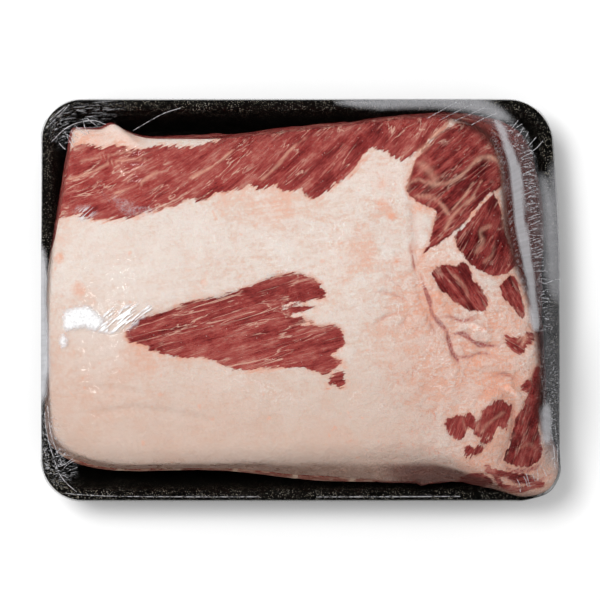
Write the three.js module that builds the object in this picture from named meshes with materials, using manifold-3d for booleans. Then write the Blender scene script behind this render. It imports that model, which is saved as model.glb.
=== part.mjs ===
// A bone-in pork loin roast as it is sold: the raw roast, fat side up, in a black foam tray, with clear
// stretch film drawn tight over the meat, round the tray's rim and under its base.
//
// Millimetres, +Z up. The origin is on the surface the pack stands on, under the middle of the tray.
// +X runs along the roast to its blade end, and +Y points to the belly side, where a strip of lean is bare.
import * as THREE from "three";
import { mergeVertices } from "three/addons/utils/BufferGeometryUtils.js";
import Module from "manifold-3d";

const wasm = await Module();
wasm.setup();

// ---- Driving dimensions -------------------------------------------------------------------------

const TRAY_LENGTH = 257;
const TRAY_WIDTH = 201.4;
const TRAY_HEIGHT = 30;
const TRAY_CORNER_RADIUS = 20;
const TRAY_END_BOW = 3; // the film draws a hollow into the left end, and the roast pushes the right end out
const TRAY_BOW_REACH = 76; // how far from the middle the right end is bowed, towards the belly side
const HOLLOW_FAR = { fade: 30, full: 4 }; // the left end's hollow along Y: where it fades out and where it is full
const HOLLOW_NEAR = { fade: -58, full: -28 };
const BOW_BLEND = 60; // half the stretch along X over which the left end's push passes into the right end's
const LEAST_CORNER_RADIUS = 3;

const FILM_THICKNESS = 0.5;
const FILM_GAP = 1;
const FILM_OPENING_INSET = 75; // the film's cut edges stop this far in from the rim, under the base

// Section of the foam tray from the middle of its underside, out and up to the rim, and down to its floor.
const PANEL_HEIGHT = 1.8; // the middle of the base is raised off its foot
const FOOT_HEIGHT = FILM_THICKNESS + 0.4;
const FLOOR_HEIGHT = 5.2;
const WALL_TOP = { inset: 5.5, z: 29 }; // inner side of the wall
const WALL_FOOT = { inset: 14.5, z: 9 };
const TRAY_SECTION = [
  { inset: 40, z: PANEL_HEIGHT },
  { inset: 37, z: FOOT_HEIGHT },
  { inset: 17, z: FOOT_HEIGHT },
  { inset: 13.5, z: 2.6 },
  { inset: 4.6, z: 24 },
  { inset: 1.2, z: 27.4 },
  { inset: 0, z: 28.8 },
  { inset: 0.9, z: TRAY_HEIGHT },
  { inset: 4, z: TRAY_HEIGHT },
  WALL_TOP,
  WALL_FOOT,
  { inset: 17, z: 6.4 },
  { inset: 22, z: FLOOR_HEIGHT },
];

// The film's way round the tray, from its cut edge under the base to the rim: inner side, then outer side.
const FILM_INSIDE = [
  { inset: FILM_OPENING_INSET, z: FILM_THICKNESS },
  { inset: 16.6, z: FILM_THICKNESS },
  { inset: 12.7, z: 2 },
  { inset: -0.5, z: 28.8 },
  { inset: 0.4, z: TRAY_HEIGHT + 0.5 },
];
const FILM_OUTSIDE = [
  { inset: FILM_OPENING_INSET, z: 0 },
  { inset: 16.3, z: 0 },
  { inset: 12.2, z: 1.8 },
  { inset: -1, z: 28.8 },
  { inset: 0.1, z: TRAY_HEIGHT + 1 },
];

const ROAST_BASE = 5.9; // the roast lies just clear of the tray's floor
const ROAST_TOP = 78; // height of the fat at the middle of the roast
const CROWN_ALONG = 2.5; // how far the top is lower at its two ends
const CROWN_ACROSS = 2; // and at its two long sides
const LEFT_END_SINK = 4;
const BELLY_SIDE_SINK = 6;
const BLADE_END_SINK = 5;
const EDGE_ROUND = 6.5; // how far the top rolls down at its edge
const EDGE_ROUND_START = 0.86; // share of the radius where that roll begins
const EDGE_ROUND_POWER = 2.5; // how late the roll steepens
const RIM_CLEAR_HEIGHT = 34; // the flank stands out furthest just above the tray's rim
const RIM_OVERHANG_INSET = 3; // and stays this far inside the rim's outline
const LEFT_END_LEAN = 2.3; // but leans out further by this at the cut left end
const KNOB_LEAN = 3.4; // and by this at the near right corner, where the tail's knob lies over the rim
const WALL_CLEARANCE = 1.6; // least space between the roast and the tray's inner wall
const FOOT_CLEARANCE = 4; // and more than that beside the curve between the wall and the floor

// Points inside the tray, from the rim down to the roast's foot: how far back each is from the flank.
const TUCKS = [
  { back: 1, z: 31.2 },
  { back: 1.5, z: 29 },
  { back: 4, z: 20 },
  { back: 7, z: 12 },
  { back: 11, z: 8 },
  { back: 18, z: ROAST_BASE },
];

const BONE_GAP = 0.3; // between the bone and the meat round it
const BONE_LEFT_END = -130; // past the end of the roast, so that the sawn end is flush with it
const BONE_RIGHT_END = 64;
const BONE_TURN = THREE.MathUtils.degToRad(-2.5); // the backbone follows the flank, which isn't square to the tray
const BONE_MIDDLE = 22.5; // middle height of the vertebrae

// Section of the split backbone, as [y, z]: the vertebrae low down, and the thin feather bone above them.
// Its outer side runs past the flank, and is then cut flush with it.
const BACKBONE_SECTION = [[-110, 13], [-66, 13], [-61, 18], [-61, 27], [-66, 32], [-80, 35], [-81.5, 49], [-110, 49]];

// Facets: the rings of every part have a point at the same bearings.
const CORNER_STEPS = 6;
const LONG_SIDE_STEPS = 13;
const SHORT_SIDE_STEPS = 10;
const FLANK_STEPS = 4;
const TOP_SHARES = [0.965, 0.92, 0.86, 0.79, 0.71, 0.62, 0.53, 0.44, 0.35, 0.26, 0.17, 0.08];
const FILM_SHARES = [0.1, 0.26, 0.44, 0.53, 0.62, 0.71, 0.79, 0.86, 0.92, 0.965, 1];

// Edge of the roast's top, seen from above, from the belly side's left corner clockwise.
const TOP_EDGE = [
  [-109, 83], [-90, 84], [-71, 79.5], [-45, 79], [-19, 81], [7, 84], [30, 86.5], [54, 89], [75, 89],
  [90, 82], [98, 70], [100, 52], [101, 36], [105, 20], [112, 2], [116, -16], [118, -35], [118, -56],
  [123, -74], [121, -87], [104, -91], [84, -84], [64, -78], [30, -77.5], [-10, -78.5], [-50, -79.5],
  [-90, -79.5], [-110, -75], [-119.5, -67], [-122.5, -50], [-123.6, -20], [-122.3, 8], [-120, 31], [-116, 55],
];

// Bare muscle in the middle of the fat, a lens that the trimming knife left.
const LENS_PATCH = [
  [-84, -18], [-73, -8], [-50, -1], [-28, 5], [-16, 11], [-3, 13], [8, 10], [13, 1], [15, -9], [22, -20],
  [21, -30], [12, -35], [-3, -32], [-28, -33], [-40, -29], [-58, -26], [-73, -22],
];
const LENS_DEPTH = 1.6;

// The fold where the loin meets the blade muscles, from the belly side down.
const FOLD_LINE = [[53, 57], [56, 32], [57, 10], [62, -7], [72, -19], [86, -22], [99, -24]];
const FOLD_RADIUS = 5; // the groove is cut by a round bar, which thins out to nothing at its ends
const FOLD_RAISE = 1.2; // height of the bar's axis over the surface
const FOLD_TAPER = 0.6; // power of the sine that thins it out
const FOLD_SIDES = 8;
const FOLD_STEPS = 18;

// Gentle lumps and hollows of the top: where, how wide and how high.
const SWELLS = [
  { x: 80, y: 62, radius: 24, height: 3.5 }, // large blade muscle
  { x: 88, y: 14, radius: 16, height: 2 }, // the muscle below it
  { x: 28, y: 40, radius: 30, height: 1.5 },
  { x: -70, y: 20, radius: 34, height: 1 },
  { x: 92, y: -55, radius: 18, height: 2 },
  { x: 128, y: -90, radius: 34, height: -25 }, // the tail of fat that sinks over the tray's corner
];

// How far the flank stands out below the top edge, and round which bearings.
const FLANK_LEAST = 4.5;
const FLANK_LOBES = [
  { bearing: 21, spread: 17, reach: 18 }, // sloping cut face of the blade end
  { bearing: 38, spread: 9, reach: 6 }, // its far corner
  { bearing: -52, spread: 15, reach: 5 },
  { bearing: -74, spread: 34, reach: 9 }, // backbone side
  { bearing: -142, spread: 16, reach: 4 },
];

// ---- Small tools --------------------------------------------------------------------------------

const clamp01 = (v) => THREE.MathUtils.clamp(v, 0, 1);

function smooth(from, to, v) {
  const share = clamp01((v - from) / (to - from));
  return share * share * (3 - 2 * share);
}

// A closed surface through rings of the same number of points, with a pole at each end.
// The first pole faces down, the last faces up, and each ring runs anticlockwise seen from above.
function loft(firstPole, rings, lastPole) {
  const count = rings[0].length;
  const positions = [firstPole, ...rings.flat(), lastPole].flatMap((p) => [p.x, p.y, p.z]);
  const at = (ring, i) => 1 + ring * count + (i % count);
  const last = 1 + rings.length * count;
  const index = [];
  for (let i = 0; i < count; i++) {
    index.push(0, at(0, i + 1), at(0, i));
    for (let ring = 0; ring + 1 < rings.length; ring++) {
      index.push(at(ring, i), at(ring, i + 1), at(ring + 1, i + 1));
      index.push(at(ring, i), at(ring + 1, i + 1), at(ring + 1, i));
    }
    index.push(at(rings.length - 1, i), at(rings.length - 1, i + 1), last);
  }
  const geometry = new THREE.BufferGeometry();
  geometry.setAttribute("position", new THREE.Float32BufferAttribute(positions, 3));
  geometry.setIndex(index);
  return geometry;
}

// How far the tray's outline is pushed along X: the left end is straight but for its hollow.
function endBow(x, y) {
  const right = TRAY_END_BOW * (0.5 - (Math.max(y, 0) / TRAY_BOW_REACH) ** 2);
  const hollow = smooth(HOLLOW_FAR.fade, HOLLOW_FAR.full, y) * smooth(HOLLOW_NEAR.fade, HOLLOW_NEAR.full, y);
  const left = TRAY_END_BOW * (hollow - 0.5);
  return THREE.MathUtils.lerp(left, right, smooth(-BOW_BLEND, BOW_BLEND, x));
}

// The tray's outline, a rectangle with round corners, set in from the rim by inset at height z.
function trayRing(inset, z) {
  const radius = Math.max(LEAST_CORNER_RADIUS, TRAY_CORNER_RADIUS - inset);
  const halfLength = TRAY_LENGTH / 2 - inset - radius;
  const halfWidth = TRAY_WIDTH / 2 - inset - radius;
  const corners = [
    { x: halfLength, y: halfWidth, start: 0, side: LONG_SIDE_STEPS },
    { x: -halfLength, y: halfWidth, start: 90, side: SHORT_SIDE_STEPS },
    { x: -halfLength, y: -halfWidth, start: 180, side: LONG_SIDE_STEPS },
    { x: halfLength, y: -halfWidth, start: 270, side: SHORT_SIDE_STEPS },
  ];
  const ring = [];
  corners.forEach((corner, n) => {
    for (let step = 0; step <= CORNER_STEPS; step++) {
      const angle = THREE.MathUtils.degToRad(corner.start + (90 * step) / CORNER_STEPS);
      ring.push(new THREE.Vector3(corner.x + radius * Math.cos(angle), corner.y + radius * Math.sin(angle), z));
    }
    const next = corners[(n + 1) % corners.length];
    const from = ring[ring.length - 1];
    const turn = THREE.MathUtils.degToRad(corner.start + 90);
    const to = new THREE.Vector3(next.x + radius * Math.cos(turn), next.y + radius * Math.sin(turn), z);
    for (let step = 1; step < corner.side; step++) ring.push(from.clone().lerp(to, step / corner.side));
  });
  for (const point of ring) point.x += endBow(point.x, point.y);
  return ring;
}

// Distance from the middle to a closed outline at a bearing.
function outlineRadius(outline, bearing) {
  const [c, s] = [Math.cos(bearing), Math.sin(bearing)];
  for (let i = 0; i < outline.length; i++) {
    const a = outline[i];
    const b = outline[(i + 1) % outline.length];
    const across = c * (b.y - a.y) - s * (b.x - a.x);
    const radius = (a.x * b.y - a.y * b.x) / across;
    const share = (a.x * s - a.y * c) / across;
    if (radius > 0 && share > -1e-9 && share < 1 + 1e-9) return radius;
  }
  throw new Error("the outline doesn't go round the middle");
}

const trayRadius = (bearing, inset) => outlineRadius(trayRing(inset, 0), bearing);

const bearingGap = (a, b) => Math.abs(Math.atan2(Math.sin(a - b), Math.cos(a - b)));

// ---- The roast's shape --------------------------------------------------------------------------

const closedCurve = (outline) =>
  new THREE.CatmullRomCurve3(outline.map(([x, y]) => new THREE.Vector3(x, y, 0)), true, "centripetal");

const topEdgeOutline = closedCurve(TOP_EDGE).getPoints(TOP_EDGE.length * 6).slice(1);

const topEdgeRadius = (bearing) => outlineRadius(topEdgeOutline, bearing);

function flankReach(bearing) {
  return FLANK_LOBES.reduce((reach, lobe) => {
    const off = THREE.MathUtils.radToDeg(bearingGap(bearing, THREE.MathUtils.degToRad(lobe.bearing)));
    return reach + lobe.reach * Math.exp(-((off / lobe.spread) ** 2));
  }, FLANK_LEAST);
}

// Height of the roast's top, before its edge rolls down.
function topHeight(x, y) {
  let z = ROAST_TOP - CROWN_ALONG * (x / 120) ** 2 - CROWN_ACROSS * (y / 85) ** 2;
  z -= LEFT_END_SINK * smooth(-70, -122, x);
  z -= BELLY_SIDE_SINK * smooth(38, 90, y); // the bare lean slopes away
  z -= BLADE_END_SINK * smooth(60, 125, x) * smooth(-70, 40, y);
  for (const s of SWELLS) z += s.height * Math.exp(-((x - s.x) ** 2 + (y - s.y) ** 2) / s.radius ** 2);
  return z;
}

function topPoint(bearing, share) {
  const radius = share * topEdgeRadius(bearing);
  const [x, y] = [radius * Math.cos(bearing), radius * Math.sin(bearing)];
  const roll = clamp01((share - EDGE_ROUND_START) / (1 - EDGE_ROUND_START));
  return new THREE.Vector3(x, y, topHeight(x, y) - EDGE_ROUND * roll ** EDGE_ROUND_POWER);
}

// Inset of the tray's inner wall at height z.
function wallInset(z) {
  const share = (z - WALL_FOOT.z) / (WALL_TOP.z - WALL_FOOT.z);
  return THREE.MathUtils.lerp(WALL_FOOT.inset, WALL_TOP.inset, share);
}

const polar = (bearing, radius, z) => new THREE.Vector3(radius * Math.cos(bearing), radius * Math.sin(bearing), z);

// How far out the flank may stand: nearly to the rim's edge at the cut left end, and over it at the knob.
function overhangRadius(bearing) {
  const outline = trayRing(RIM_OVERHANG_INSET, 0);
  for (const point of outline) {
    const atLeftEnd = smooth(-90, -118, point.x) * smooth(98, 60, Math.abs(point.y + 12));
    const atKnob = smooth(100, 116, point.x) * smooth(-66, -82, point.y);
    point.x -= LEFT_END_LEAN * atLeftEnd;
    point.multiplyScalar(1 + (KNOB_LEAN * atKnob) / point.length());
  }
  return outlineRadius(outline, bearing);
}

// Points down the flank at a bearing, from just under the top edge to just above the tray's rim.
function flankPoints(bearing) {
  const edge = topPoint(bearing, 1);
  const radius = topEdgeRadius(bearing);
  const reach = flankReach(bearing);
  const points = [];
  for (let step = 1; step <= FLANK_STEPS; step++) {
    const share = step / FLANK_STEPS;
    const out = radius + reach * Math.sin((share * Math.PI) / 2);
    const held = Math.min(out, overhangRadius(bearing));
    points.push(polar(bearing, held, THREE.MathUtils.lerp(edge.z, RIM_CLEAR_HEIGHT, share)));
  }
  return points;
}

// Points inside the tray at a bearing, from the rim down to the roast's foot.
function tuckedPoints(bearing) {
  const flank = topEdgeRadius(bearing) + flankReach(bearing);
  return TUCKS.map(({ back, z }) => {
    const wall = trayRadius(bearing, wallInset(z)) - WALL_CLEARANCE - (z < WALL_FOOT.z ? FOOT_CLEARANCE : 0);
    return polar(bearing, Math.min(flank - back, wall), z);
  });
}

const bearings = trayRing(0, 0).map((p) => Math.atan2(p.y, p.x));
const middle = (z) => new THREE.Vector3(0, 0, z);

function roastGeometry() {
  const tucked = bearings.map(tuckedPoints);
  const flanks = bearings.map(flankPoints);
  const rings = [tucked.map((points) => points.at(-1).clone().multiply(new THREE.Vector3(0.5, 0.5, 1)))];
  for (let n = TUCKS.length - 1; n >= 0; n--) rings.push(tucked.map((points) => points[n]));
  for (let n = FLANK_STEPS - 1; n >= 0; n--) rings.push(flanks.map((points) => points[n]));
  for (const share of [1, ...TOP_SHARES]) rings.push(bearings.map((bearing) => topPoint(bearing, share)));
  return loft(middle(ROAST_BASE), rings, middle(topPoint(0, 0).z));
}

// ---- What is cut out of the roast ---------------------------------------------------------------

// A round bar along the fold, thickest in its middle.
function foldBar() {
  const line = new THREE.CatmullRomCurve3(
    FOLD_LINE.map(([x, y]) => new THREE.Vector3(x, y, topHeight(x, y) + FOLD_RAISE)),
  );
  const up = new THREE.Vector3(0, 0, 1);
  const rings = [];
  for (let step = 1; step < FOLD_STEPS; step++) {
    const share = step / FOLD_STEPS;
    const along = line.getTangentAt(share);
    const across = up.clone().cross(along).normalize();
    const raised = along.clone().cross(across);
    const radius = FOLD_RADIUS * Math.sin(share * Math.PI) ** FOLD_TAPER;
    const ring = Array.from({ length: FOLD_SIDES }, (_, side) => {
      const angle = (side / FOLD_SIDES) * 2 * Math.PI;
      return line.getPointAt(share)
        .addScaledVector(across, radius * Math.cos(angle))
        .addScaledVector(raised, radius * Math.sin(angle));
    });
    rings.push(ring);
  }
  return loft(line.getPointAt(0), rings, line.getPointAt(1));
}

// A block over the lens patch, which reaches below the lens and above the roast.
function lensBlock() {
  const outline = closedCurve(LENS_PATCH).getPoints(LENS_PATCH.length * 2).slice(1);
  const depth = ROAST_TOP - ROAST_BASE;
  const block = new THREE.ExtrudeGeometry(
    new THREE.Shape(outline.map((p) => new THREE.Vector2(p.x, p.y))),
    { depth, bevelEnabled: false, steps: 1 },
  );
  block.translate(0, 0, ROAST_TOP - depth / 2);
  return block;
}

// ---- The backbone -------------------------------------------------------------------------------

// A bar of the backbone's section along its side of the roast, larger by grow at its top, foot and inner side.
function backboneBar(grow) {
  const section = new THREE.Shape(
    BACKBONE_SECTION.map(([y, z]) => new THREE.Vector2(y + grow, z + grow * Math.sign(z - BONE_MIDDLE))),
  );
  const depth = BONE_RIGHT_END + grow - BONE_LEFT_END;
  const bar = new THREE.ExtrudeGeometry(section, { depth, bevelEnabled: false, steps: 1 });
  // The extrusion's own x, y, z become the part's y, z, x.
  bar.applyMatrix4(new THREE.Matrix4().makeBasis(
    new THREE.Vector3(0, 1, 0),
    new THREE.Vector3(0, 0, 1),
    new THREE.Vector3(1, 0, 0),
  ));
  bar.translate(BONE_LEFT_END, 0, 0);
  bar.rotateZ(BONE_TURN);
  return bar;
}

function solidOf(geometry) {
  const bare = geometry.index ? geometry.toNonIndexed() : geometry.clone();
  bare.deleteAttribute("normal");
  bare.deleteAttribute("uv");
  const merged = mergeVertices(bare, 1e-3);
  return new wasm.Manifold(new wasm.Mesh({
    numProp: 3,
    vertProperties: new Float32Array(merged.attributes.position.array),
    triVerts: new Uint32Array(merged.index.array),
  }));
}

function geometryOf(solid) {
  const mesh = solid.getMesh();
  const geometry = new THREE.BufferGeometry();
  geometry.setAttribute("position", new THREE.BufferAttribute(new Float32Array(mesh.vertProperties), 3));
  geometry.setIndex(new THREE.BufferAttribute(new Uint32Array(mesh.triVerts), 1));
  geometry.computeVertexNormals();
  return geometry;
}

// ---- Tray and film ------------------------------------------------------------------------------

function trayGeometry() {
  const rings = TRAY_SECTION.map(({ inset, z }) => trayRing(inset, z));
  return loft(middle(PANEL_HEIGHT), rings, middle(FLOOR_HEIGHT));
}

// Pulls a line taut over its points, given from the middle outwards. Points that it passes over are spread
// evenly along the straight stretch above them, so that the line keeps as many points as it was given.
function pulledTaut(points) {
  const hull = [];
  points.forEach((p, i) => {
    while (hull.length > 1) {
      const [a, b] = hull.slice(-2).map((n) => points[n]);
      if ((b.x - a.x) * (p.y - a.y) - (b.y - a.y) * (p.x - a.x) < 0) break;
      hull.pop();
    }
    hull.push(i);
  });
  return points.map((p, i) => {
    const to = hull.find((n) => n >= i);
    const from = hull.findLast((n) => n <= i);
    return from === to ? p : points[from].clone().lerp(points[to], (i - from) / (to - from));
  });
}

// The film's line over the roast at a bearing, standing off by gap, from near the middle to just short of the rim.
function tautLine(bearing, rimPoint, gap) {
  const top = FILM_SHARES.map((share) => topPoint(bearing, share));
  const section = [topPoint(bearing, 0), ...top, ...flankPoints(bearing)];
  const flat = section.map((p) => new THREE.Vector2(Math.hypot(p.x, p.y), p.z));
  const line = pulledTaut([...flat, new THREE.Vector2(Math.hypot(rimPoint.x, rimPoint.y), TRAY_HEIGHT)]);
  return line.slice(1, -1).map((p, i) => {
    const along = line[i + 2].clone().sub(line[i]).normalize();
    return polar(bearing, p.x - along.y * gap, p.y + along.x * gap);
  });
}

function filmSide(wayRoundTray, gap) {
  const lower = wayRoundTray.map(({ inset, z }) => trayRing(inset, z));
  const rim = lower.at(-1);
  const lines = bearings.map((bearing, i) => tautLine(bearing, rim[i], gap).reverse());
  const upper = lines[0].map((_, n) => lines.map((line) => line[n]));
  return [...lower, ...upper];
}

function filmGeometry() {
  const inside = filmSide(FILM_INSIDE, FILM_GAP).reverse();
  const outside = filmSide(FILM_OUTSIDE, FILM_GAP + FILM_THICKNESS);
  const peak = topPoint(0, 0).z;
  return loft(middle(peak + FILM_GAP), [...inside, ...outside], middle(peak + FILM_GAP + FILM_THICKNESS));
}

// ---- The pack -----------------------------------------------------------------------------------

const blackFoam = new THREE.MeshStandardMaterial({ color: 0x1c1b1a, roughness: 0.45, metalness: 0 });
const rawPork = new THREE.MeshStandardMaterial({ color: 0xdcb9a6, roughness: 0.35, metalness: 0 });
const rawBone = new THREE.MeshStandardMaterial({ color: 0xc98f80, roughness: 0.5, metalness: 0 });
const clearFilm = new THREE.MeshStandardMaterial({
  color: 0xf4f6f7, roughness: 0.08, metalness: 0, transparent: true, opacity: 0.2,
});

function namedMesh(name, geometry, material) {
  const mesh = new THREE.Mesh(geometry, material);
  mesh.name = name;
  return mesh;
}

// The roast with the fold cut in, and with the lens let in by its depth.
function wholeRoast() {
  const roast = solidOf(roastGeometry());
  const overLens = solidOf(lensBlock()).subtract(roast.translate([0, 0, -LENS_DEPTH]));
  return roast.subtract(overLens).subtract(solidOf(foldBar()));
}

const roast = wholeRoast();
const backbone = roast.intersect(solidOf(backboneBar(0)));
const meat = roast.subtract(solidOf(backboneBar(BONE_GAP)));

const pack = new THREE.Group();
pack.name = "pork_loin_pack";
pack.add(namedMesh("foam_tray", trayGeometry(), blackFoam));
pack.add(namedMesh("pork_loin", geometryOf(meat), rawPork));
pack.add(namedMesh("chine_bone", geometryOf(backbone), rawBone));
pack.add(namedMesh("film_wrap", filmGeometry(), clearFilm));

export default pack;
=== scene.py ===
"""A raw bone-in pork loin roast, fat side up, in a black foam tray under clear stretch film.

Every piece is built in millimetres in the part's own frame, and is written to its mesh in metres. The roast and
the film follow the same outlines, heights and flanks as the part's solids, and add what those leave out.
"""

import math

import bpy
import numpy as np
from bpy.props import FloatProperty, FloatVectorProperty, PointerProperty
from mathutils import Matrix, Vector


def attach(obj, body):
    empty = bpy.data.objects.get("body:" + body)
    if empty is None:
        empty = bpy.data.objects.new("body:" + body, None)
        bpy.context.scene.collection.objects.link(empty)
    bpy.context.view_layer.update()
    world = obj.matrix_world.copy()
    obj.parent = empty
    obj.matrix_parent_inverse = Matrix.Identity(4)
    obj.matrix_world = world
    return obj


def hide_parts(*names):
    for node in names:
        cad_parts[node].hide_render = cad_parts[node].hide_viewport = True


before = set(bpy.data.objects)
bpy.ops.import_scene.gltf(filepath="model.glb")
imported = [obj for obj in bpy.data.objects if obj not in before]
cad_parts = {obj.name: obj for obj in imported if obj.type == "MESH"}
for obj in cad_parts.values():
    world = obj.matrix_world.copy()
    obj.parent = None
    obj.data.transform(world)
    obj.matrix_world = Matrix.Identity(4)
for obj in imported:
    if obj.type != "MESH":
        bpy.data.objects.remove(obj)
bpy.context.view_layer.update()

bl_info = {
    "name": "Tray-packed pork loin roast",
    "version": (1, 0, 0),
    "blender": (4, 5, 0),
    "location": "3D View > Sidebar > Roast pack",
    "description": "Builds a film-wrapped bone-in pork loin roast round its packed solids",
    "category": "Object",
}

MM = 0.001
LATTICE = 64  # noise repeats after this many cells

# ---- The part's own measures, in millimetres, as in its solids -----------------------------------

TRAY_CORNER_RADIUS = 20
TRAY_END_BOW = 3
TRAY_BOW_REACH = 76
HOLLOW_FAR, HOLLOW_NEAR = (30, 4), (-58, -28)  # where the left end's hollow fades in and out along y
BOW_BLEND = 60
LEAST_CORNER_RADIUS = 3
WALL_TOP = (5.5, 29)
WALL_FOOT = (14.5, 9)
RIM_HEIGHT = 30
FILM_OPENING_INSET = 75

ROAST_BASE = 5.9
ROAST_TOP = 78
CROWN_ALONG = 2.5
CROWN_ACROSS = 2
LEFT_END_SINK = 4
BELLY_SIDE_SINK = 6
BLADE_END_SINK = 5
EDGE_ROUND = 6.5
EDGE_ROUND_START = 0.86
EDGE_ROUND_POWER = 2.5
RIM_CLEAR_HEIGHT = 34
RIM_OVERHANG_INSET = 3
LEFT_END_LEAN = 2.3
KNOB_LEAN = 3.4
WALL_CLEARANCE = 1.6
FOOT_CLEARANCE = 4
BONE_LEFT_END = -130
BONE_RIGHT_END = 64
BONE_TURN = math.radians(-2.5)
BACKBONE_SECTION = [(-110, 13), (-66, 13), (-61, 18), (-61, 27), (-66, 32), (-80, 35), (-81.5, 49), (-110, 49)]

TOP_EDGE = [
    (-110.8, 83.2), (-106, 83.8), (-98, 83.8), (-92, 86.2), (-84, 82), (-75.5, 79.3), (-60, 79), (-45, 79), (-19, 81), (7, 84), (30, 86.5), (54, 89), (75, 89),
    (90, 82), (98, 70), (100, 52), (101, 36), (105, 20), (112, 2), (116, -16), (118, -35), (118, -56),
    (123, -74), (121, -87), (104, -91), (84, -84), (64, -78), (30, -77.5), (-10, -78.5), (-50, -79.5),
    (-90, -79.5), (-110, -75), (-119.5, -67), (-122.5, -50), (-123.6, -20), (-122.3, 8), (-120, 31), (-116, 55),
    (-112.2, 79),
]
# Lumps and hollows of the top: x, y, radius, height.
SWELLS = [
    (80, 62, 24, 3.5), (88, 14, 16, 2), (28, 40, 30, 1.5), (-70, 20, 34, 1), (92, -55, 18, 2), (128, -90, 34, -25),
]
FLANK_LEAST = 4.5
FLANK_LOBES = [(21, 17, 18), (38, 9, 6), (-54, 16, 8), (-74, 34, 9), (-142, 16, 4)]  # bearing and spread in degrees, and reach
TUCKS = [(0.6, 32.6), (1, 31.2), (1.5, 29), (2.6, 24.5), (4, 20), (5.4, 16), (7, 12), (9, 9.8), (11, 8), (18, ROAST_BASE)]
TRAY_SECTION = [  # inset from the rim's outline, and height
    (42, 1.8), (39.5, 1.7), (37.6, 1.1), (37, 0.9), (17.4, 0.9), (16.2, 1.1), (14.6, 1.7), (13.3, 3.0), (12.6, 4.6),
    (9.0, 13.2), (5.2, 22.6), (4.2, 24.6), (3.0, 26.1), (1.5, 27.3), (0.7, 27.9), (0.15, 28.6), (0, 29.1), (0.2, 29.6),
    (0.7, 29.9), (1.4, 30), (3.4, 30), (4.4, 29.85), (5.1, 29.5), (5.6, 28.9), (8.2, 23), (11.4, 16), (14.0, 10.1),
    (14.7, 8.7), (15.8, 7.4), (17.2, 6.3), (19.2, 5.5), (22, 5.2), (40, 5.2),
]
FILM_ROUND_TRAY = [(75, 0.2), (45, 0.2), (20, 0.2), (16.4, 0.25), (14.4, 0.8), (12.5, 2.2), (8.6, 10.8), (4.6, 19.4),
                   (1.6, 24.6), (0.2, 27.2), (-0.6, 28.8), (-0.5, 29.7), (0.1, 30.45)]

# ---- What the top shows, seen from above ---------------------------------------------------------

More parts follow.
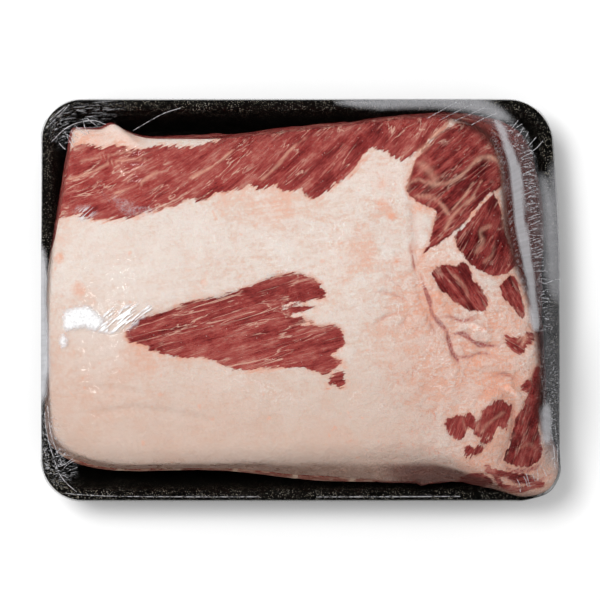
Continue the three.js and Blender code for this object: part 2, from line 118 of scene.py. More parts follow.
# Bare lean: outline, tone from bright (0) to dark (1), fibre direction in degrees (None where it fans out),
# depth below the fat, and how frayed its edge is along the fibres.
LEAN_PATCHES = {
    "belly_strip": dict(tone=0.06, fibre=None, depth=0.7, fray=1.0, outline=[
        (-126.6, 37.9), (-117.9, 40.3), (-109.6, 41.3), (-99.9, 39.4), (-85.3, 40.3), (-78, 42.3), (-72.2, 43.3),
        (-65.9, 45.7), (-60.5, 45.7), (-55.6, 49.1), (-49.8, 48.6), (-45.9, 50.5), (-40.6, 53), (-36.2, 52.5),
        (-31.8, 53.5), (-27.9, 55.4), (-24.1, 56.9), (-21.1, 54.7), (-18.2, 53.9), (-14.8, 55.6), (-11.9, 56.1),
        (-9.5, 53.5), (-6.1, 53), (-2.2, 53.9), (1.2, 53.9), (3.6, 50.5), (7.5, 50.5), (11.4, 51.5), (14.3, 53.9),
        (17.7, 57.3), (22.1, 59.8), (25.5, 63.2), (29.9, 69), (34.3, 73.9), (37.2, 74.8), (41.6, 72.4), (47.4, 69.3),
        (53.2, 70), (59.5, 73.9), (64.9, 79.2), (71.2, 83.6), (73, 92), (48.4, 99), (14.3, 99), (-24.5, 97),
        (-46.4, 92), (-40.1, 79), (-48.4, 76.3), (-56.6, 74.8), (-63.4, 75.3), (-69.7, 75.3), (-74.6, 74.1),
        (-79.9, 73.4), (-85.5, 74.4), (-90.2, 75.3), (-95.5, 74.4), (-102.3, 75.8), (-110.6, 75.8), (-114, 72.9),
        (-121.7, 70.5), (-130, 63.2)]),
    "lens": dict(tone=0.28, fibre=16, depth=1.6, fray=0.6, outline=[
        (-84.8, -17.3), (-79.5, -9.7), (-70.7, -6.8), (-61.7, -4.2), (-50.8, -0.5), (-38.6, 1.9), (-29.4, 4.9),
        (-23.6, 6.8), (-18.7, 9.2), (-15.3, 11.2), (-10, 12.6), (-3.2, 12.8), (1.2, 12.2), (6.1, 10.2), (9, 7.8),
        (10.8, 4.9), (11.7, 1.5), (8.5, 0.5), (2.2, -0.7), (-5.1, -1.9), (-9, -4.4), (-2.2, -2.9), (5.6, -3.9),
        (8.5, -4.4), (-0.2, -5.8), (-8, -8.3), (-1.2, -9.2), (6.6, -10.2), (5.6, -11.2), (0.7, -12.2), (9.5, -12.6),
        (18.2, -13.1), (20.2, -15.6), (21.1, -18.5), (21.6, -21.4), (18.2, -24.3), (14.8, -27.2), (19.7, -29.6),
        (18.2, -32.1), (14.8, -34.5), (14.3, -36.4), (11.4, -36), (7, -34.5), (3.2, -33.5), (-2.7, -32.6), (-9, -32.6),
        (-13.9, -33.3), (-18.7, -33), (-24.5, -34), (-30.4, -34), (-36.2, -32.1), (-41.1, -29.6), (-46.4, -27.7),
        (-52.7, -28.2), (-59, -27.7), (-66.3, -26.2), (-70.2, -24.3), (-73.6, -23.8), (-77, -20.9), (-82.9, -20.4)]),
    "lens_spot": dict(tone=0.3, fibre=16, depth=0.3, fray=1.0, outline=[
        (17.7, -35), (21.1, -34.5), (20.2, -37.9), (21.6, -41.3), (18.2, -42.8), (16.3, -39.9), (13.9, -41.8), (14.8, -37.9)]),
    "blade_large": dict(tone=0.75, fibre=40, depth=0.5, fray=0.3, outline=[
        (78.2, 87.2), (86, 84.7), (91.8, 80.4), (94.7, 75.5), (97.2, 69.2), (98.4, 64.3), (98.9, 57.5),
        (97.2, 54.6), (92.5, 52.2), (89.5, 49.8), (86.1, 45.9), (82.7, 41.5), (78.8, 37.1), (74.4, 33.2),
        (70.5, 29.8), (66.1, 26.8), (61.7, 23.9), (58.7, 20.9), (60.6, 24.3), (63.1, 29.2),
        (64, 34.1), (65.5, 39), (66, 42.9), (60.1, 46.3), (56.2, 48.2), (53.3, 51.1), (51.4, 54.8),
        (52.8, 59.4), (54.3, 64.3), (57.2, 69.6), (61.6, 75), (67.9, 81.3), (73.8, 84.7)]),
    "blade_right": dict(tone=1.0, fibre=62, depth=0.5, fray=0.3, outline=[
        (95.9, 49.2), (97.6, 45.8), (98.4, 40.9), (100.1, 36), (100.8, 31.2), (102.5, 26.3), (104.5, 21.4),
        (105.7, 18), (104, 15.3), (99.6, 12.7), (94.7, 11.7), (91.3, 12.7), (87, 14.6), (82, 18),
        (78.5, 22.5), (76, 27), (75.4, 30.4), (76.6, 33), (79.9, 35.9), (83.8, 40.3), (87.2, 44.7), (90.6, 48.6),
        (93.6, 51)]),
    "blade_eye": dict(tone=0.95, fibre=-55, depth=0.9, fray=0.4, outline=[
        (64.3, 13.6), (67.9, 16.6), (71.8, 17), (75.7, 16.1), (79.1, 18.5), (81.6, 16.6), (83.5, 11.2),
        (86.9, 6.3), (89.9, 1.5), (91.3, -2.4), (89.4, -5.4), (86, -4.9), (82.5, -5.4), (78.7, -2.9),
        (75.2, -1), (71.8, 1.9), (68.4, 4.9), (65.5, 9.3)]),
    "blade_edge": dict(tone=1.0, fibre=-60, depth=0.4, fray=0.2, outline=[
        (104, 12.2), (106.9, 6.8), (108.4, 0), (109.5, -5), (108, -9), (103.5, -3.4), (100.1, -0.5), (98.6, 1.5),
        (97.2, 6.1), (100.1, 9.7)]),
    "blade_swirl": dict(tone=0.75, fibre=-30, depth=0.3, fray=0.8, outline=[
        (100.4, -16.5), (103.8, -18.5), (107.6, -18), (111.1, -15.6), (114, -16.5), (113.5, -19.9), (110.1, -22.8),
        (107.6, -25.8), (104.2, -25.8), (101.3, -23.8), (99.9, -20.9)]),
    "tail_large": dict(tone=0.12, fibre=72, depth=0.8, fray=0.5, outline=[
        (70, -61), (71, -58.6), (74.9, -56.6), (77.3, -56.1), (80.3, -56.6), (81.7, -55.1), (83.7, -56.1), (85.9, -58.6),
        (87.9, -56.6), (88.3, -53.7), (91, -52), (93.9, -50.8), (95.4, -49.3), (97.8, -48.8), (100.8, -50.8),
        (103.2, -52), (102.7, -55.1), (102.2, -58.1), (101.3, -61), (100.3, -63.4), (98.8, -63), (97.4, -61.5),
        (95.9, -63.4), (93.9, -66.4), (91, -70.3), (89.1, -69.8), (87.6, -68.6), (85.6, -65.9), (83.7, -63.4),
        (82.2, -61.5), (80.8, -64.9), (79.3, -67.3), (76.4, -67.8), (73.9, -66.4), (71.5, -63.4)]),
    "tail_spot": dict(tone=0.6, fibre=60, depth=0.2, fray=0.6, outline=[
        (80.8, -71.2), (81.7, -71), (83.4, -72.2), (85.2, -72.7), (86.6, -70.8), (88.3, -71), (89.1, -72.7),
        (87.6, -74.2), (85.6, -75.6), (83.4, -75.6), (80.8, -77.1), (80.3, -74.7)]),
    "tail_flap": dict(tone=0.9, fibre=75, depth=0.9, fray=0.4, outline=[
        (114.9, -32.8), (112.5, -36.8), (113.2, -42), (110, -49), (108, -53.9), (105.1, -58.8), (103.9, -66.2),
        (102.2, -72.3), (100.2, -78.4), (103.9, -80.9), (111.2, -82.3), (118.6, -79.6), (119.8, -74.7), (118.6, -68.6),
        (117.4, -61.3), (118, -49), (117.6, -40.4), (116.9, -32.8)]),
    "fork_spot": dict(tone=0.4, fibre=20, depth=0.2, fray=0.6, outline=[
        (108.6, -40.3), (112, -38.9), (114, -41.8), (112, -44.7), (108.1, -44.2)]),
    "under_tail": dict(tone=1.0, fibre=5, depth=0.3, fray=0.4, outline=[
        (78.8, -90.9), (79.8, -87.9), (83.7, -86), (87.7, -85), (93.6, -87.9), (95.1, -90.9), (91.1, -92.4), (83.7, -91.9)]),
    "knob_slit": dict(tone=0.7, fibre=5, depth=0.9, fray=0.5, outline=[
        (102, -86), (106, -85.6), (112, -86.6), (117.5, -88.6), (116, -90.4), (111, -91.5), (107, -90.8), (104, -88.6)]),
    "knob_crease": dict(tone=0.35, fibre=5, depth=0.3, fray=0.4, outline=[
        (95.5, -86), (98, -87), (100, -90), (104.5, -92.4), (112, -92.4), (120, -90.2), (122, -92.2), (113, -95.2),
        (104, -95.2), (97.5, -92)]),
    "knob_top": dict(tone=0.5, fibre=5, depth=0.3, fray=0.4, outline=[
        (90.5, -81), (97.5, -83.6), (104, -84.8), (104, -86.4), (97, -86.6), (90.5, -84)]),
}
FIBRE_MIDDLE = 45  # fibre direction of the belly strip at x = 0, in degrees
FIBRE_FAN = 0.2675  # and how fast it turns, in degrees for each millimetre along x
FIBRE_LEAST, FIBRE_MOST = 11, 60
# Seams of fat in the lean: a line, its width, and how pale it is.
SEAMS = [
    dict(width=1.1, pale=0.8, line=[(76.2, 88.1), (66.5, 81.3), (60.6, 74.5), (56.2, 70.1), (53.8, 65.3), (52.4, 58.9), (51.6, 53.8)]),
    dict(width=0.9, pale=0.6, line=[(51.4, 56), (56.7, 58.4), (63.1, 57), (70.4, 56.5), (76.7, 59.4), (82.5, 64.8), (87.4, 69.2), (93.3, 70.6)]),
    dict(width=1.1, pale=0.9, line=[(91.8, 70.1), (97.2, 68.2), (99.1, 62.3), (99.6, 54.5), (99.3, 47.7), (100.6, 36)]),
    dict(width=0.8, pale=0.6, line=[(70.4, 34.1), (73.8, 40.4), (78.7, 45.8), (84.5, 49.7)]),
    dict(width=0.9, pale=0.4, line=[(85.5, 23.4), (88.4, 27.8), (87.4, 33.1), (91.8, 36)]),
    dict(width=0.7, pale=0.35, line=[(89.4, 18.5), (93.3, 21.9), (94.2, 26.3)]),
    dict(width=0.8, pale=0.6, line=[(56.2, 50.6), (63.1, 50.2), (67.9, 47.2), (71.8, 41.9)]),
    dict(width=2.4, pale=0.4, line=[(59.1, 66.3), (63.1, 62.3), (65, 58.9)]),
    dict(width=0.5, pale=0.7, line=[(74, 44), (80, 51), (84, 57)]), dict(width=0.5, pale=0.6, line=[(78, 42), (83, 49), (88, 58)]),
    dict(width=0.6, pale=0.6, line=[(-113, 59.5), (-102.7, 62.5), (-90.5, 67.8), (-76.4, 68.8)]),
    dict(width=0.6, pale=0.6, line=[(-90.5, 52.2), (-80.8, 55.6), (-70, 62.5)]),
    dict(width=0.6, pale=0.6, line=[(-53.9, 59.5), (-41.7, 65.9), (-33.4, 73.2)]),
    dict(width=0.6, pale=0.6, line=[(-18.8, 58.6), (-11, 65.9), (-5.1, 73.2), (2.2, 79.1)]),
    dict(width=0.5, pale=0.5, line=[(-107.6, 68.3), (-93, 70.8), (-83.2, 73.2)]),
    dict(width=0.5, pale=0.35, line=[(79, -57), (80, -62), (83, -66)]),
    dict(width=0.5, pale=0.35, line=[(86, -58), (87, -64), (92, -60), (99, -55)]),
    dict(width=0.7, pale=0.3, line=[(108, -73), (113, -71), (117, -74)]),
    dict(width=0.8, pale=0.7, line=[(106, -20), (110, -17), (108, -22)]), dict(width=0.6, pale=0.5, line=[(75, 12), (80, 6), (82, 0)]),
]

# Furrows in the fat: a line, its width, its depth and how red it is.
FURROWS = [
    dict(width=2.2, depth=1.2, red=0.3, line=[(53, 57), (56, 32), (57, 10), (62, -7), (72, -19), (86, -22), (99, -24)]),
    dict(width=0.8, depth=1.8, red=1.0, line=[
        (58.1, 13.1), (60.4, 5.8), (62.8, -1), (63.9, -6.3), (67.3, -10.7), (70.5, -14.1), (71.7, -17.5), (74, -25.5),
        (75.8, -28.7), (78, -34)]),
    dict(width=0.8, depth=1.4, red=0.9, line=[(62, -7.8), (64, -13), (65.1, -16.8)]),
    dict(width=1.2, depth=1.2, red=0.45, line=[(55.6, -3.4), (51, -10), (46.9, -17)]),
    dict(width=0.8, depth=1.2, red=1.0, line=[(71.7, -17), (77, -16.5), (80.9, -17.5), (85.8, -21.4), (91.6, -21.9), (97.9, -22.8)]),
    dict(width=0.8, depth=1.0, red=0.8, line=[(53.2, 28.2), (55.2, 16.5), (56.3, 10.7)]),
    dict(width=1.4, depth=0.9, red=0.1, line=[(-87.5, 39), (-81, 28), (-76, 20.5), (-68.3, 17)]),
    dict(width=1.0, depth=0.6, red=0.12, line=[(-83, 40), (-76.5, 29.5), (-70, 22)]),
    dict(width=0.9, depth=1.1, red=0.5, line=[(54, -2), (44, 3), (35, 4)]),
    dict(width=0.9, depth=1.0, red=0.5, line=[(52, -6), (42, -8), (33, -14)]),
    dict(width=0.8, depth=0.9, red=0.5, line=[(53, 2), (45, 9), (38, 15)]),
    dict(width=0.8, depth=0.9, red=0.6, line=[(57, 1), (64, 6), (66, 12)]),
    dict(width=0.8, depth=1.0, red=0.8, line=[(66, -9), (72, -8), (79, -10), (88, -8)]),
    dict(width=0.9, depth=1.2, red=0.7, line=[(74, -26), (80, -28), (88, -26), (96, -28)]),
    dict(width=1.0, depth=1.8, red=0.6, line=[(96.9, -42.9), (99.8, -47.8), (103.2, -51.2), (104.2, -56.1), (103.7, -63.4),
                                              (101.7, -70.8), (98.8, -77.1), (94.4, -83)]),
    dict(width=0.9, depth=1.2, red=0.7, line=[(92, -38), (98, -36), (104, -38), (108, -43)]),
    dict(width=1.3, depth=2.0, red=1.0, line=[(97.3, -86.1), (103.7, -88.1), (111.1, -90.5), (118.6, -90.5), (122.5, -87.5)]),
    dict(width=1.1, depth=1.6, red=0.9, line=[(99, -79.5), (103, -83.6), (110, -84.4), (117, -82.8), (121, -79)]),
    dict(width=1.2, depth=1.4, red=0.9, line=[(90, -82), (94, -85), (97.5, -89.5)]),
    dict(width=1.1, depth=1.3, red=0.7, line=[(104, -93), (111, -94.5), (118, -93)]),
    dict(width=1.0, depth=1.2, red=0.8, line=[(112, -86), (115, -88), (121, -84)]),
    dict(width=1.4, depth=1.2, red=0.4, line=[(80.8, -82), (84.7, -79.1), (88.6, -77.1), (93, -78)]),
    dict(width=0.9, depth=0.9, red=0.4, line=[(82, -44), (86, -48), (84, -53)]),
    dict(width=2.0, depth=1.0, red=0.15, line=[(-104, -56), (-80, -53), (-58, -56), (-40, -60)]),
    dict(width=1.8, depth=0.8, red=0.1, line=[(-110, -45), (-92, -43), (-75, -47)]),
    # Raised folds have a depth below zero.
    dict(width=2.6, depth=-1.8, red=0, line=[(95, -39), (101, -42), (106, -48), (108, -54)]),
    dict(width=2.2, depth=-1.6, red=0, line=[(88, -46), (94, -47), (99, -46)]),
    dict(width=3.0, depth=-1.6, red=0, line=[(98, -84), (106, -85.5), (114, -85), (121, -83)]),
    dict(width=2.2, depth=-1.5, red=0, line=[(60, 8), (67, 2), (69, -6)]),
    dict(width=2.4, depth=-1.4, red=0, line=[(75, -12), (85, -13), (95, -17)]),
    dict(width=2.6, depth=-1.2, red=0, line=[(80, -32), (92, -31), (102, -31)]),
]
# Stains of the fat: x, y, radius and strength, orange-pink above zero and pale below. The pale spots at x 58.5 and 60
# are painted highlights of wet fat.
STAINS_AND_HIGHLIGHTS = [
    (16, -70, 14, 0.7), (70, -32, 26, 0.85), (96, -40, 22, 1), (62, 20, 12, 0.6), (105, -60, 20, 0.9), (60, 45, 7, 0.5),
    (112, -86, 12, 1), (64, -4, 16, 1), (76, 2, 12, 0.8), (88, -78, 14, 0.9), (100, -12, 14, 0.8),
    (-12, 45, 10, 0.3), (-100, -50, 26, 0.35), (-60, -70, 24, 0.35), (-108, 6, 5, 0.5), (40, 60, 9, 0.25),
    (-40, -60, 30, 0.3), (39.7, 55.6, 2.2, 0.9), (39.7, 47.3, 3.2, 0.8), (44.1, 40.4, 2.2, 0.8), (46.5, 19, 2.4, 0.8),
    (-117.9, 20.5, 3.5, 0.6), (-47, 8.3, 2.6, 0.6), (-76, -27, 12, 0.5), (30, 22, 14, 0.25),
    (-102, 79, 12, 0.75), (-84, 78, 10, 0.65), (118, -90, 12, 1), (100, -88, 12, 1), (86, -30, 16, 1), (92, -62, 10, 0.8),
    (84, 41, 5, 0.9), (90, 47.5, 5, 0.9), (58.5, 37, 6, -0.9), (60, 28, 4.5, -0.8), (30, -52, 22, -0.5), (66, -62, 12, -0.5), (98, -46, 5, -0.6), (106, -30, 9, -0.5),
    (-95, 28, 26, -0.7), (-60, 18, 24, -0.5), (45, 30, 9, -0.5), (36, 8, 10, -0.4),
]
# Fat over the lean on the flanks: bearing in degrees, thickness below the top edge.
FLANK_FAT = [(-180, 24), (-150, 24), (-140, 24), (-120, 26), (-90, 26), (-60, 26), (-42, 24), (-30, 8), (-12, 3), (0, 0.5),
             (50, 0), (65, 1.5), (90, 0), (120, 0), (133, 3), (145, 5), (150, 0), (163, 0), (168, 8), (174, 24), (180, 24)]

# The film seen from above: outlines where it is milky, hatched, hairy or creased, and how soft they fade out. The milky
# haze is partly painted reflection, and the white hairs and hatching are painted highlights of the film's fine ripples.
FILM_VEILS = [
    dict(haze_and_reflection=0.38, soft=0.8, outline=[
        (96, 89.5), (101, 86.5), (103.5, 76.6), (107.9, 66.7), (109.9, 56.8), (109.9, 49.4), (110.4, 42), (113.4, 24.7),
        (115.8, 4.9), (116.8, -14.8), (113.4, -14.8), (111.9, 4.9), (109.4, 19.8), (106.4, 34.6), (105, 46.9),
        (103, 61.8), (101, 71.6), (98, 81.5)]),
    dict(hatch=0.09, soft=0.6, outline=[
        (93.2, 84), (96, 89), (98, 81.5), (101, 71.6), (103, 61.8), (105, 46.9), (106.4, 34.6), (109.4, 19.8),
        (111.9, 4.9), (108, 4.9), (105, 19.7), (102.6, 34.4), (101.1, 46.7), (99.6, 56.6), (98.2, 64), (95.2, 73.8)]),
    dict(haze_and_reflection=0.03, hairs=0.36, soft=0.8, outline=[
        (101, 86.5), (110, 86), (114.7, 80), (117, 66.7), (118.8, 56.8), (120.3, 45), (121, 30), (123.5, 15),
        (125.5, 0), (126, -15), (116.8, -14.8), (115.8, 4.9), (113.4, 24.7), (110.4, 42), (109.9, 56.8),
        (107.9, 66.7), (103.5, 76.6)]),
    dict(haze_and_reflection=0.3, soft=5, outline=[(121, 60), (128, 50), (129, 20), (128, 0), (124, 8), (122, 30)]),
    dict(haze_and_reflection=0.24, soft=5, outline=[(127, 66), (142, 76), (142, 0), (127, 0)]),
    dict(haze_and_reflection=0.06, soft=3, outline=[(121, -2), (131, -2), (131, -86), (125, -86), (121, -50)]),
    dict(haze_and_reflection=0.4, hairs=0.5, soft=1.8, outline=[
        (119.8, -51.8), (122.8, -50.8), (124.8, -59.8), (123.4, -70.7), (120.3, -69.7), (118.8, -59.8)]),
    dict(hairs=0.4, soft=2, outline=[(120, -20), (127, -20), (128, -80), (122, -80), (119, -50)]),
    dict(haze_and_reflection=0.24, soft=2.5, outline=[
        (18, 99), (40, 101.5), (89.8, 101.5), (99, 96), (104, 90), (98, 89), (89.8, 92.5), (64.8, 96), (40, 95.5)]),
    dict(haze_and_reflection=0.08, hairs=0.3, soft=3, outline=[(70, 100), (92, 99), (106, 88), (98, 87), (80, 94)]),
    dict(haze_and_reflection=0.58, hairs=0.5, soft=3, outline=[(-142, 30), (-129, 24), (-126.4, 4), (-126.4, -46), (-142, -56)]),
    dict(hairs=0.4, soft=3, outline=[(-130, -45), (-124, -45), (-118, -66), (-112, -86), (-122, -92), (-130, -80)]),
    dict(hairs=0.25, soft=3, outline=[(-127, 88), (-110, 98), (-90, 98), (-100, 86), (-118, 76)]),
    # Painted highlights: white patches and slanted white streaks in the film's colour, standing for light caught on
    # fine ridges of the film.
    dict(painted_sheen=0.85, soft=2.6, outline=[
        (-115.3, -5.8), (-111.4, -3.9), (-107.5, -2.9), (-103.6, -2.4), (-99.7, -5.8), (-96.8, -8.8), (-95.8, -10.7),
        (-97.7, -13.6), (-101.6, -15.1), (-103.6, -13.6), (-109.4, -13.6), (-114.3, -14.6), (-115.8, -12.2)]),
    dict(painted_sheen=0.8, soft=2, outline=[
        (-117.7, -17.5), (-115.8, -16.6), (-113.8, -18), (-113.8, -22.4), (-115.8, -24.4), (-117.7, -22.4)]),
    dict(painted_slant_streaks=1, soft=1.2, outline=[
        (-101, -11), (-93.8, -5.8), (-89, -4.4), (-83.1, -3.4), (-75, -2.4), (-72.4, -5.4), (-78.2, -8.8),
        (-82.1, -12.2), (-86, -14.6), (-91.9, -16.1), (-97.8, -15)]),
    dict(painted_slant_streaks=0.45, soft=1.5, outline=[(-109.4, 43.9), (-102.6, 45.3), (-100.7, 42.4), (-103.6, 39.5), (-108.5, 39.5)]),
    dict(painted_sheen=0.3, soft=2, outline=[
        (-92, 50.8), (-85.7, 49.8), (-78.3, 46.4), (-69.6, 45.4), (-68.6, 42), (-78.3, 40), (-86.2, 41), (-90.1, 44.9)]),
    dict(painted_sheen=0.26, soft=2, outline=[(-98.4, 54.2), (-94.9, 51.7), (-92, 48.3), (-93, 46.9), (-96.9, 49.8)]),
]
# Creases where the film lies double: lines seen from above.
FILM_FOLDS = [
    [(-124, 79), (-118, 84), (-111, 87.5), (-103, 89), (-96, 86.5)], [(-82.5, 83.5), (-76, 88), (-68, 93), (-60, 96)],
    [(-128, 86), (-121, 92), (-116, 98)], [(-126, 90), (-118, 97)], [(-122, -83), (-118, -90), (-112, -96)],
    [(-127, -55), (-125, -70), (-121, -84)], [(-124.5, -52), (-122.5, -68), (-118, -82)], [(62, 89), (70, 94), (78, 99)],
    [(68, 88), (77, 93), (86, 98)], [(76, 88), (84, 92), (92, 96)], [(84, 86), (91, 90), (98, 93)],
    [(124, -62), (126, -74), (127, -84)], [(127, -60), (128.5, -72), (128, -84)], [(121.5, 8), (127, 10), (131, 10.5)],
    [(-118, -97), (-96, -98.2), (-60, -98.6), (-20, -98.6)], [(8, -98.7), (40, -98.6), (80, -98.4)],
]
# Rows of short folds: start and end of the row, length, how far they turn from it in degrees, and their number.
FOLD_ROWS = [
    dict(start=(112, 74), end=(118.5, 14), length=8, turn=95, count=34), dict(start=(119, 12), end=(122.5, -14), length=6, turn=80, count=10),
    dict(start=(-103, 88), end=(-118, 76), length=11, turn=90, count=7), dict(start=(-112, -84), end=(-121, -74), length=9, turn=80, count=6),
    dict(start=(108, -92), end=(122, -84), length=8, turn=80, count=6), dict(start=(104, 88), end=(118, 76), length=10, turn=-90, count=6),
]

# ---- Shapes --------------------------------------------------------------------------------------


def smooth(start, end, value):
    share = np.clip((value - start) / (end - start), 0, 1)
    return share * share * (3 - 2 * share)


def lerp(a, b, share):
    return a + (b - a) * share


def ripple(x, y, cell, seed):
    """Smooth noise from -1 to 1, with lumps about cell across. The same seed always gives the same lumps."""
    lattice = np.random.default_rng(seed).uniform(-1, 1, (LATTICE, LATTICE))
    column, row = np.floor(x / cell).astype(int), np.floor(y / cell).astype(int)
    s, t = x / cell - column, y / cell - row
    s, t = (v * v * v * (v * (v * 6 - 15) + 10) for v in (s, t))

    def corner(across, along):
        return lattice[(column + across) % LATTICE, (row + along) % LATTICE]

    return lerp(lerp(corner(0, 0), corner(1, 0), s), lerp(corner(0, 1), corner(1, 1), s), t)


def curve_through(points, steps, closed=True):
    """A centripetal curve through points, with that many steps between each two of them."""
    at = np.array(points, float)
    if closed:
        before, after, later = (np.roll(at, n, 0) for n in (1, -1, -2))
        start = at
    else:
        at = np.vstack([2 * at[0] - at[1], at, 2 * at[-1] - at[-2]])
        before, start, after, later = at[:-3], at[1:-2], at[2:-1], at[3:]
    gaps = [np.maximum(np.linalg.norm(b - a, axis=1), 1e-6)[:, None] ** 0.5
            for a, b in ((before, start), (start, after), (after, later))]
    leave = ((start - before) / gaps[0] - (after - before) / (gaps[0] + gaps[1]) + (after - start) / gaps[1]) * gaps[1]
    reach = ((after - start) / gaps[1] - (later - start) / (gaps[1] + gaps[2]) + (later - after) / gaps[2]) * gaps[1]
    rows = []
    for t in np.arange(steps) / steps:
        rows.append(start + leave * t + (3 * (after - start) - 2 * leave - reach) * t * t
                    + (2 * (start - after) + leave + reach) * t ** 3)
    line = np.stack(rows, 1).reshape(-1, at.shape[1])
    return line if closed else np.vstack([line, after[-1]])


def distance_to(x, y, line, closed=True):
    """Distance of each point to a line, and whether it lies inside, where the line is closed."""
    a = np.array(line, float)
    b = np.roll(a, -1, 0) if closed else a[1:]
    a = a if closed else a[:-1]
    run = b - a
    least = np.full(len(x), 1e9)
    inside = np.zeros(len(x), bool)
    for (ax, ay), (bx, by), (rx, ry) in zip(a, b, run):
        t = np.clip(((x - ax) * rx + (y - ay) * ry) / max(rx * rx + ry * ry, 1e-9), 0, 1)
        least = np.minimum(least, (x - ax - t * rx) ** 2 + (y - ay - t * ry) ** 2)
        if closed and ay != by:
            inside ^= ((ay > y) != (by > y)) & (x < rx * (y - ay) / ry + ax)
    return np.sqrt(least), inside


FAR = -30.0  # lean depth well away from any lean


def depth_inside(x, y, outline):
    """How far inside an outline each point is: negative outside it."""
    line = curve_through(outline, 3)
    (x0, y0), (x1, y1) = line.min(0) + FAR / 2, line.max(0) - FAR / 2
    near = (x > x0) & (x < x1) & (y > y0) & (y < y1)
    depth = np.full(len(x), FAR)
    gap, inside = distance_to(x[near], y[near], line)
    depth[near] = np.where(inside, gap, -gap)
    return depth


def tray_ring(sizes, inset, corner_steps=24, long_steps=60, short_steps=44, taut=False):
    """The tray's outline from above: a rectangle with round corners and bowed ends, set in by inset.

    Where it is taut, the outline is the film's, which runs straight past the hollow end.
    """
    radius = max(LEAST_CORNER_RADIUS, TRAY_CORNER_RADIUS - inset)
    half_x = sizes.tray_length / MM / 2 - inset - radius
    half_y = sizes.tray_width / MM / 2 - inset - radius
    corners = [(half_x, half_y, 0, long_steps), (-half_x, half_y, 90, short_steps),
               (-half_x, -half_y, 180, long_steps), (half_x, -half_y, 270, short_steps)]
    ring = []
    for n, (cx, cy, start, side) in enumerate(corners):
        for step in range(corner_steps + 1):
            turn = math.radians(start + 90 * step / corner_steps)
            ring.append((cx + radius * math.cos(turn), cy + radius * math.sin(turn)))
        nx, ny = corners[(n + 1) % 4][:2]
        turn = math.radians(start + 90)
        end = (nx + radius * math.cos(turn), ny + radius * math.sin(turn))
        begin = ring[-1]
        ring += [tuple(lerp(begin[k], end[k], step / side) for k in (0, 1)) for step in range(1, side)]
    ring = np.array(ring)
    bow = TRAY_END_BOW * (0.5 - (np.maximum(ring[:, 1], 0) / TRAY_BOW_REACH) ** 2)
    hollow = 0 if taut else smooth(*HOLLOW_FAR, ring[:, 1]) * smooth(*HOLLOW_NEAR, ring[:, 1])
    ring[:, 0] += lerp(TRAY_END_BOW * (hollow - 0.5), bow, smooth(-BOW_BLEND, BOW_BLEND, ring[:, 0]))
    return ring


def radius_round(outline):
    """The distance from the middle to a closed outline, as a function of the bearing."""
    turn = np.arctan2(outline[:, 1], outline[:, 0])
    radius = np.hypot(outline[:, 0], outline[:, 1])
    return lambda bearing: np.interp(bearing, turn, radius, period=2 * math.pi)


def tray_radius(sizes, inset, taut=False):
    return radius_round(tray_ring(sizes, inset, 24, 200, 160, taut))


def overhang_limit(sizes):
    """How far out the meat may stand: nearly to the rim's edge at the cut left end, and over it at the knob."""
    ring = tray_ring(sizes, RIM_OVERHANG_INSET, 24, 200, 160)
    out = smooth(-90, -118, ring[:, 0]) * smooth(98, 60, np.abs(ring[:, 1] + 12))
    knob = smooth(100, 116, ring[:, 0]) * smooth(-66, -82, ring[:, 1])
    ring[:, 0] -= LEFT_END_LEAN * out
    ring *= (1 + KNOB_LEAN * knob / np.hypot(ring[:, 0], ring[:, 1]))[:, None]
    return radius_round(ring)


def wall_inset(z):
    share = (z - WALL_FOOT[1]) / (WALL_TOP[1] - WALL_FOOT[1])
    return lerp(WALL_FOOT[0], WALL_TOP[0], share)


edge_radius = radius_round(curve_through(TOP_EDGE, 24))


def flank_reach(bearing):
    reach = np.full(np.shape(bearing), float(FLANK_LEAST))
    for at, spread, most in FLANK_LOBES:
        off = np.degrees(np.angle(np.exp(1j * (bearing - math.radians(at)))))
        reach += most * np.exp(-(off / spread) ** 2)
    return reach


def top_height(x, y):
    """Height of the roast's top, before its edge rolls down and without its fine relief."""
    z = ROAST_TOP - CROWN_ALONG * (x / 120) ** 2 - CROWN_ACROSS * (y / 85) ** 2
    z -= LEFT_END_SINK * smooth(-70, -122, x)
    z -= BELLY_SIDE_SINK * smooth(38, 90, y)
    z -= BLADE_END_SINK * smooth(60, 125, x) * smooth(-70, 40, y)
    for sx, sy, radius, height in SWELLS:
        z += height * np.exp(-((x - sx) ** 2 + (y - sy) ** 2) / radius ** 2)
    return z


def furrow_field(x, y):
    """Depth of the furrows at each point, and how red they are."""
    depth, red = np.zeros(len(x)), np.zeros(len(x))
    for furrow in FURROWS:
        line = curve_through(furrow["line"], 6, closed=False)
        (x0, y0), (x1, y1) = line.min(0) - 12, line.max(0) + 12
        near = (x > x0) & (x < x1) & (y > y0) & (y < y1)
        gap, _ = distance_to(x[near], y[near], line, closed=False)
        gap = np.abs(gap + 0.5 * ripple(x[near], y[near], 4, 31))
        first, last = (np.hypot(x[near] - p[0], y[near] - p[1]) for p in (line[0], line[-1]))
        fade = smooth(-2, 9, first) * smooth(-2, 9, last)
        depth[near] += furrow["depth"] * np.exp(-(gap / furrow["width"]) ** 2) * fade
        red[near] = np.maximum(red[near], furrow["red"] * np.exp(-(gap / (max(furrow["width"] * 1.35, 1.35))) ** 2) * (0.4 + 0.6 * fade))
    return depth, red


def seam_field(x, y):
    """How pale the seams of fat make the lean at each point."""
    pale = np.zeros(len(x))
    for seam in SEAMS:
        line = curve_through(seam["line"], 6, closed=False)
        gap, _ = distance_to(x, y, line, closed=False)
        width = seam["width"] * (1 + 0.4 * ripple(x, y, 3, 33))
        pale = np.maximum(pale, seam["pale"] * np.exp(-((gap + 0.4 * ripple(x, y, 5, 34)) / width) ** 2))
    return pale


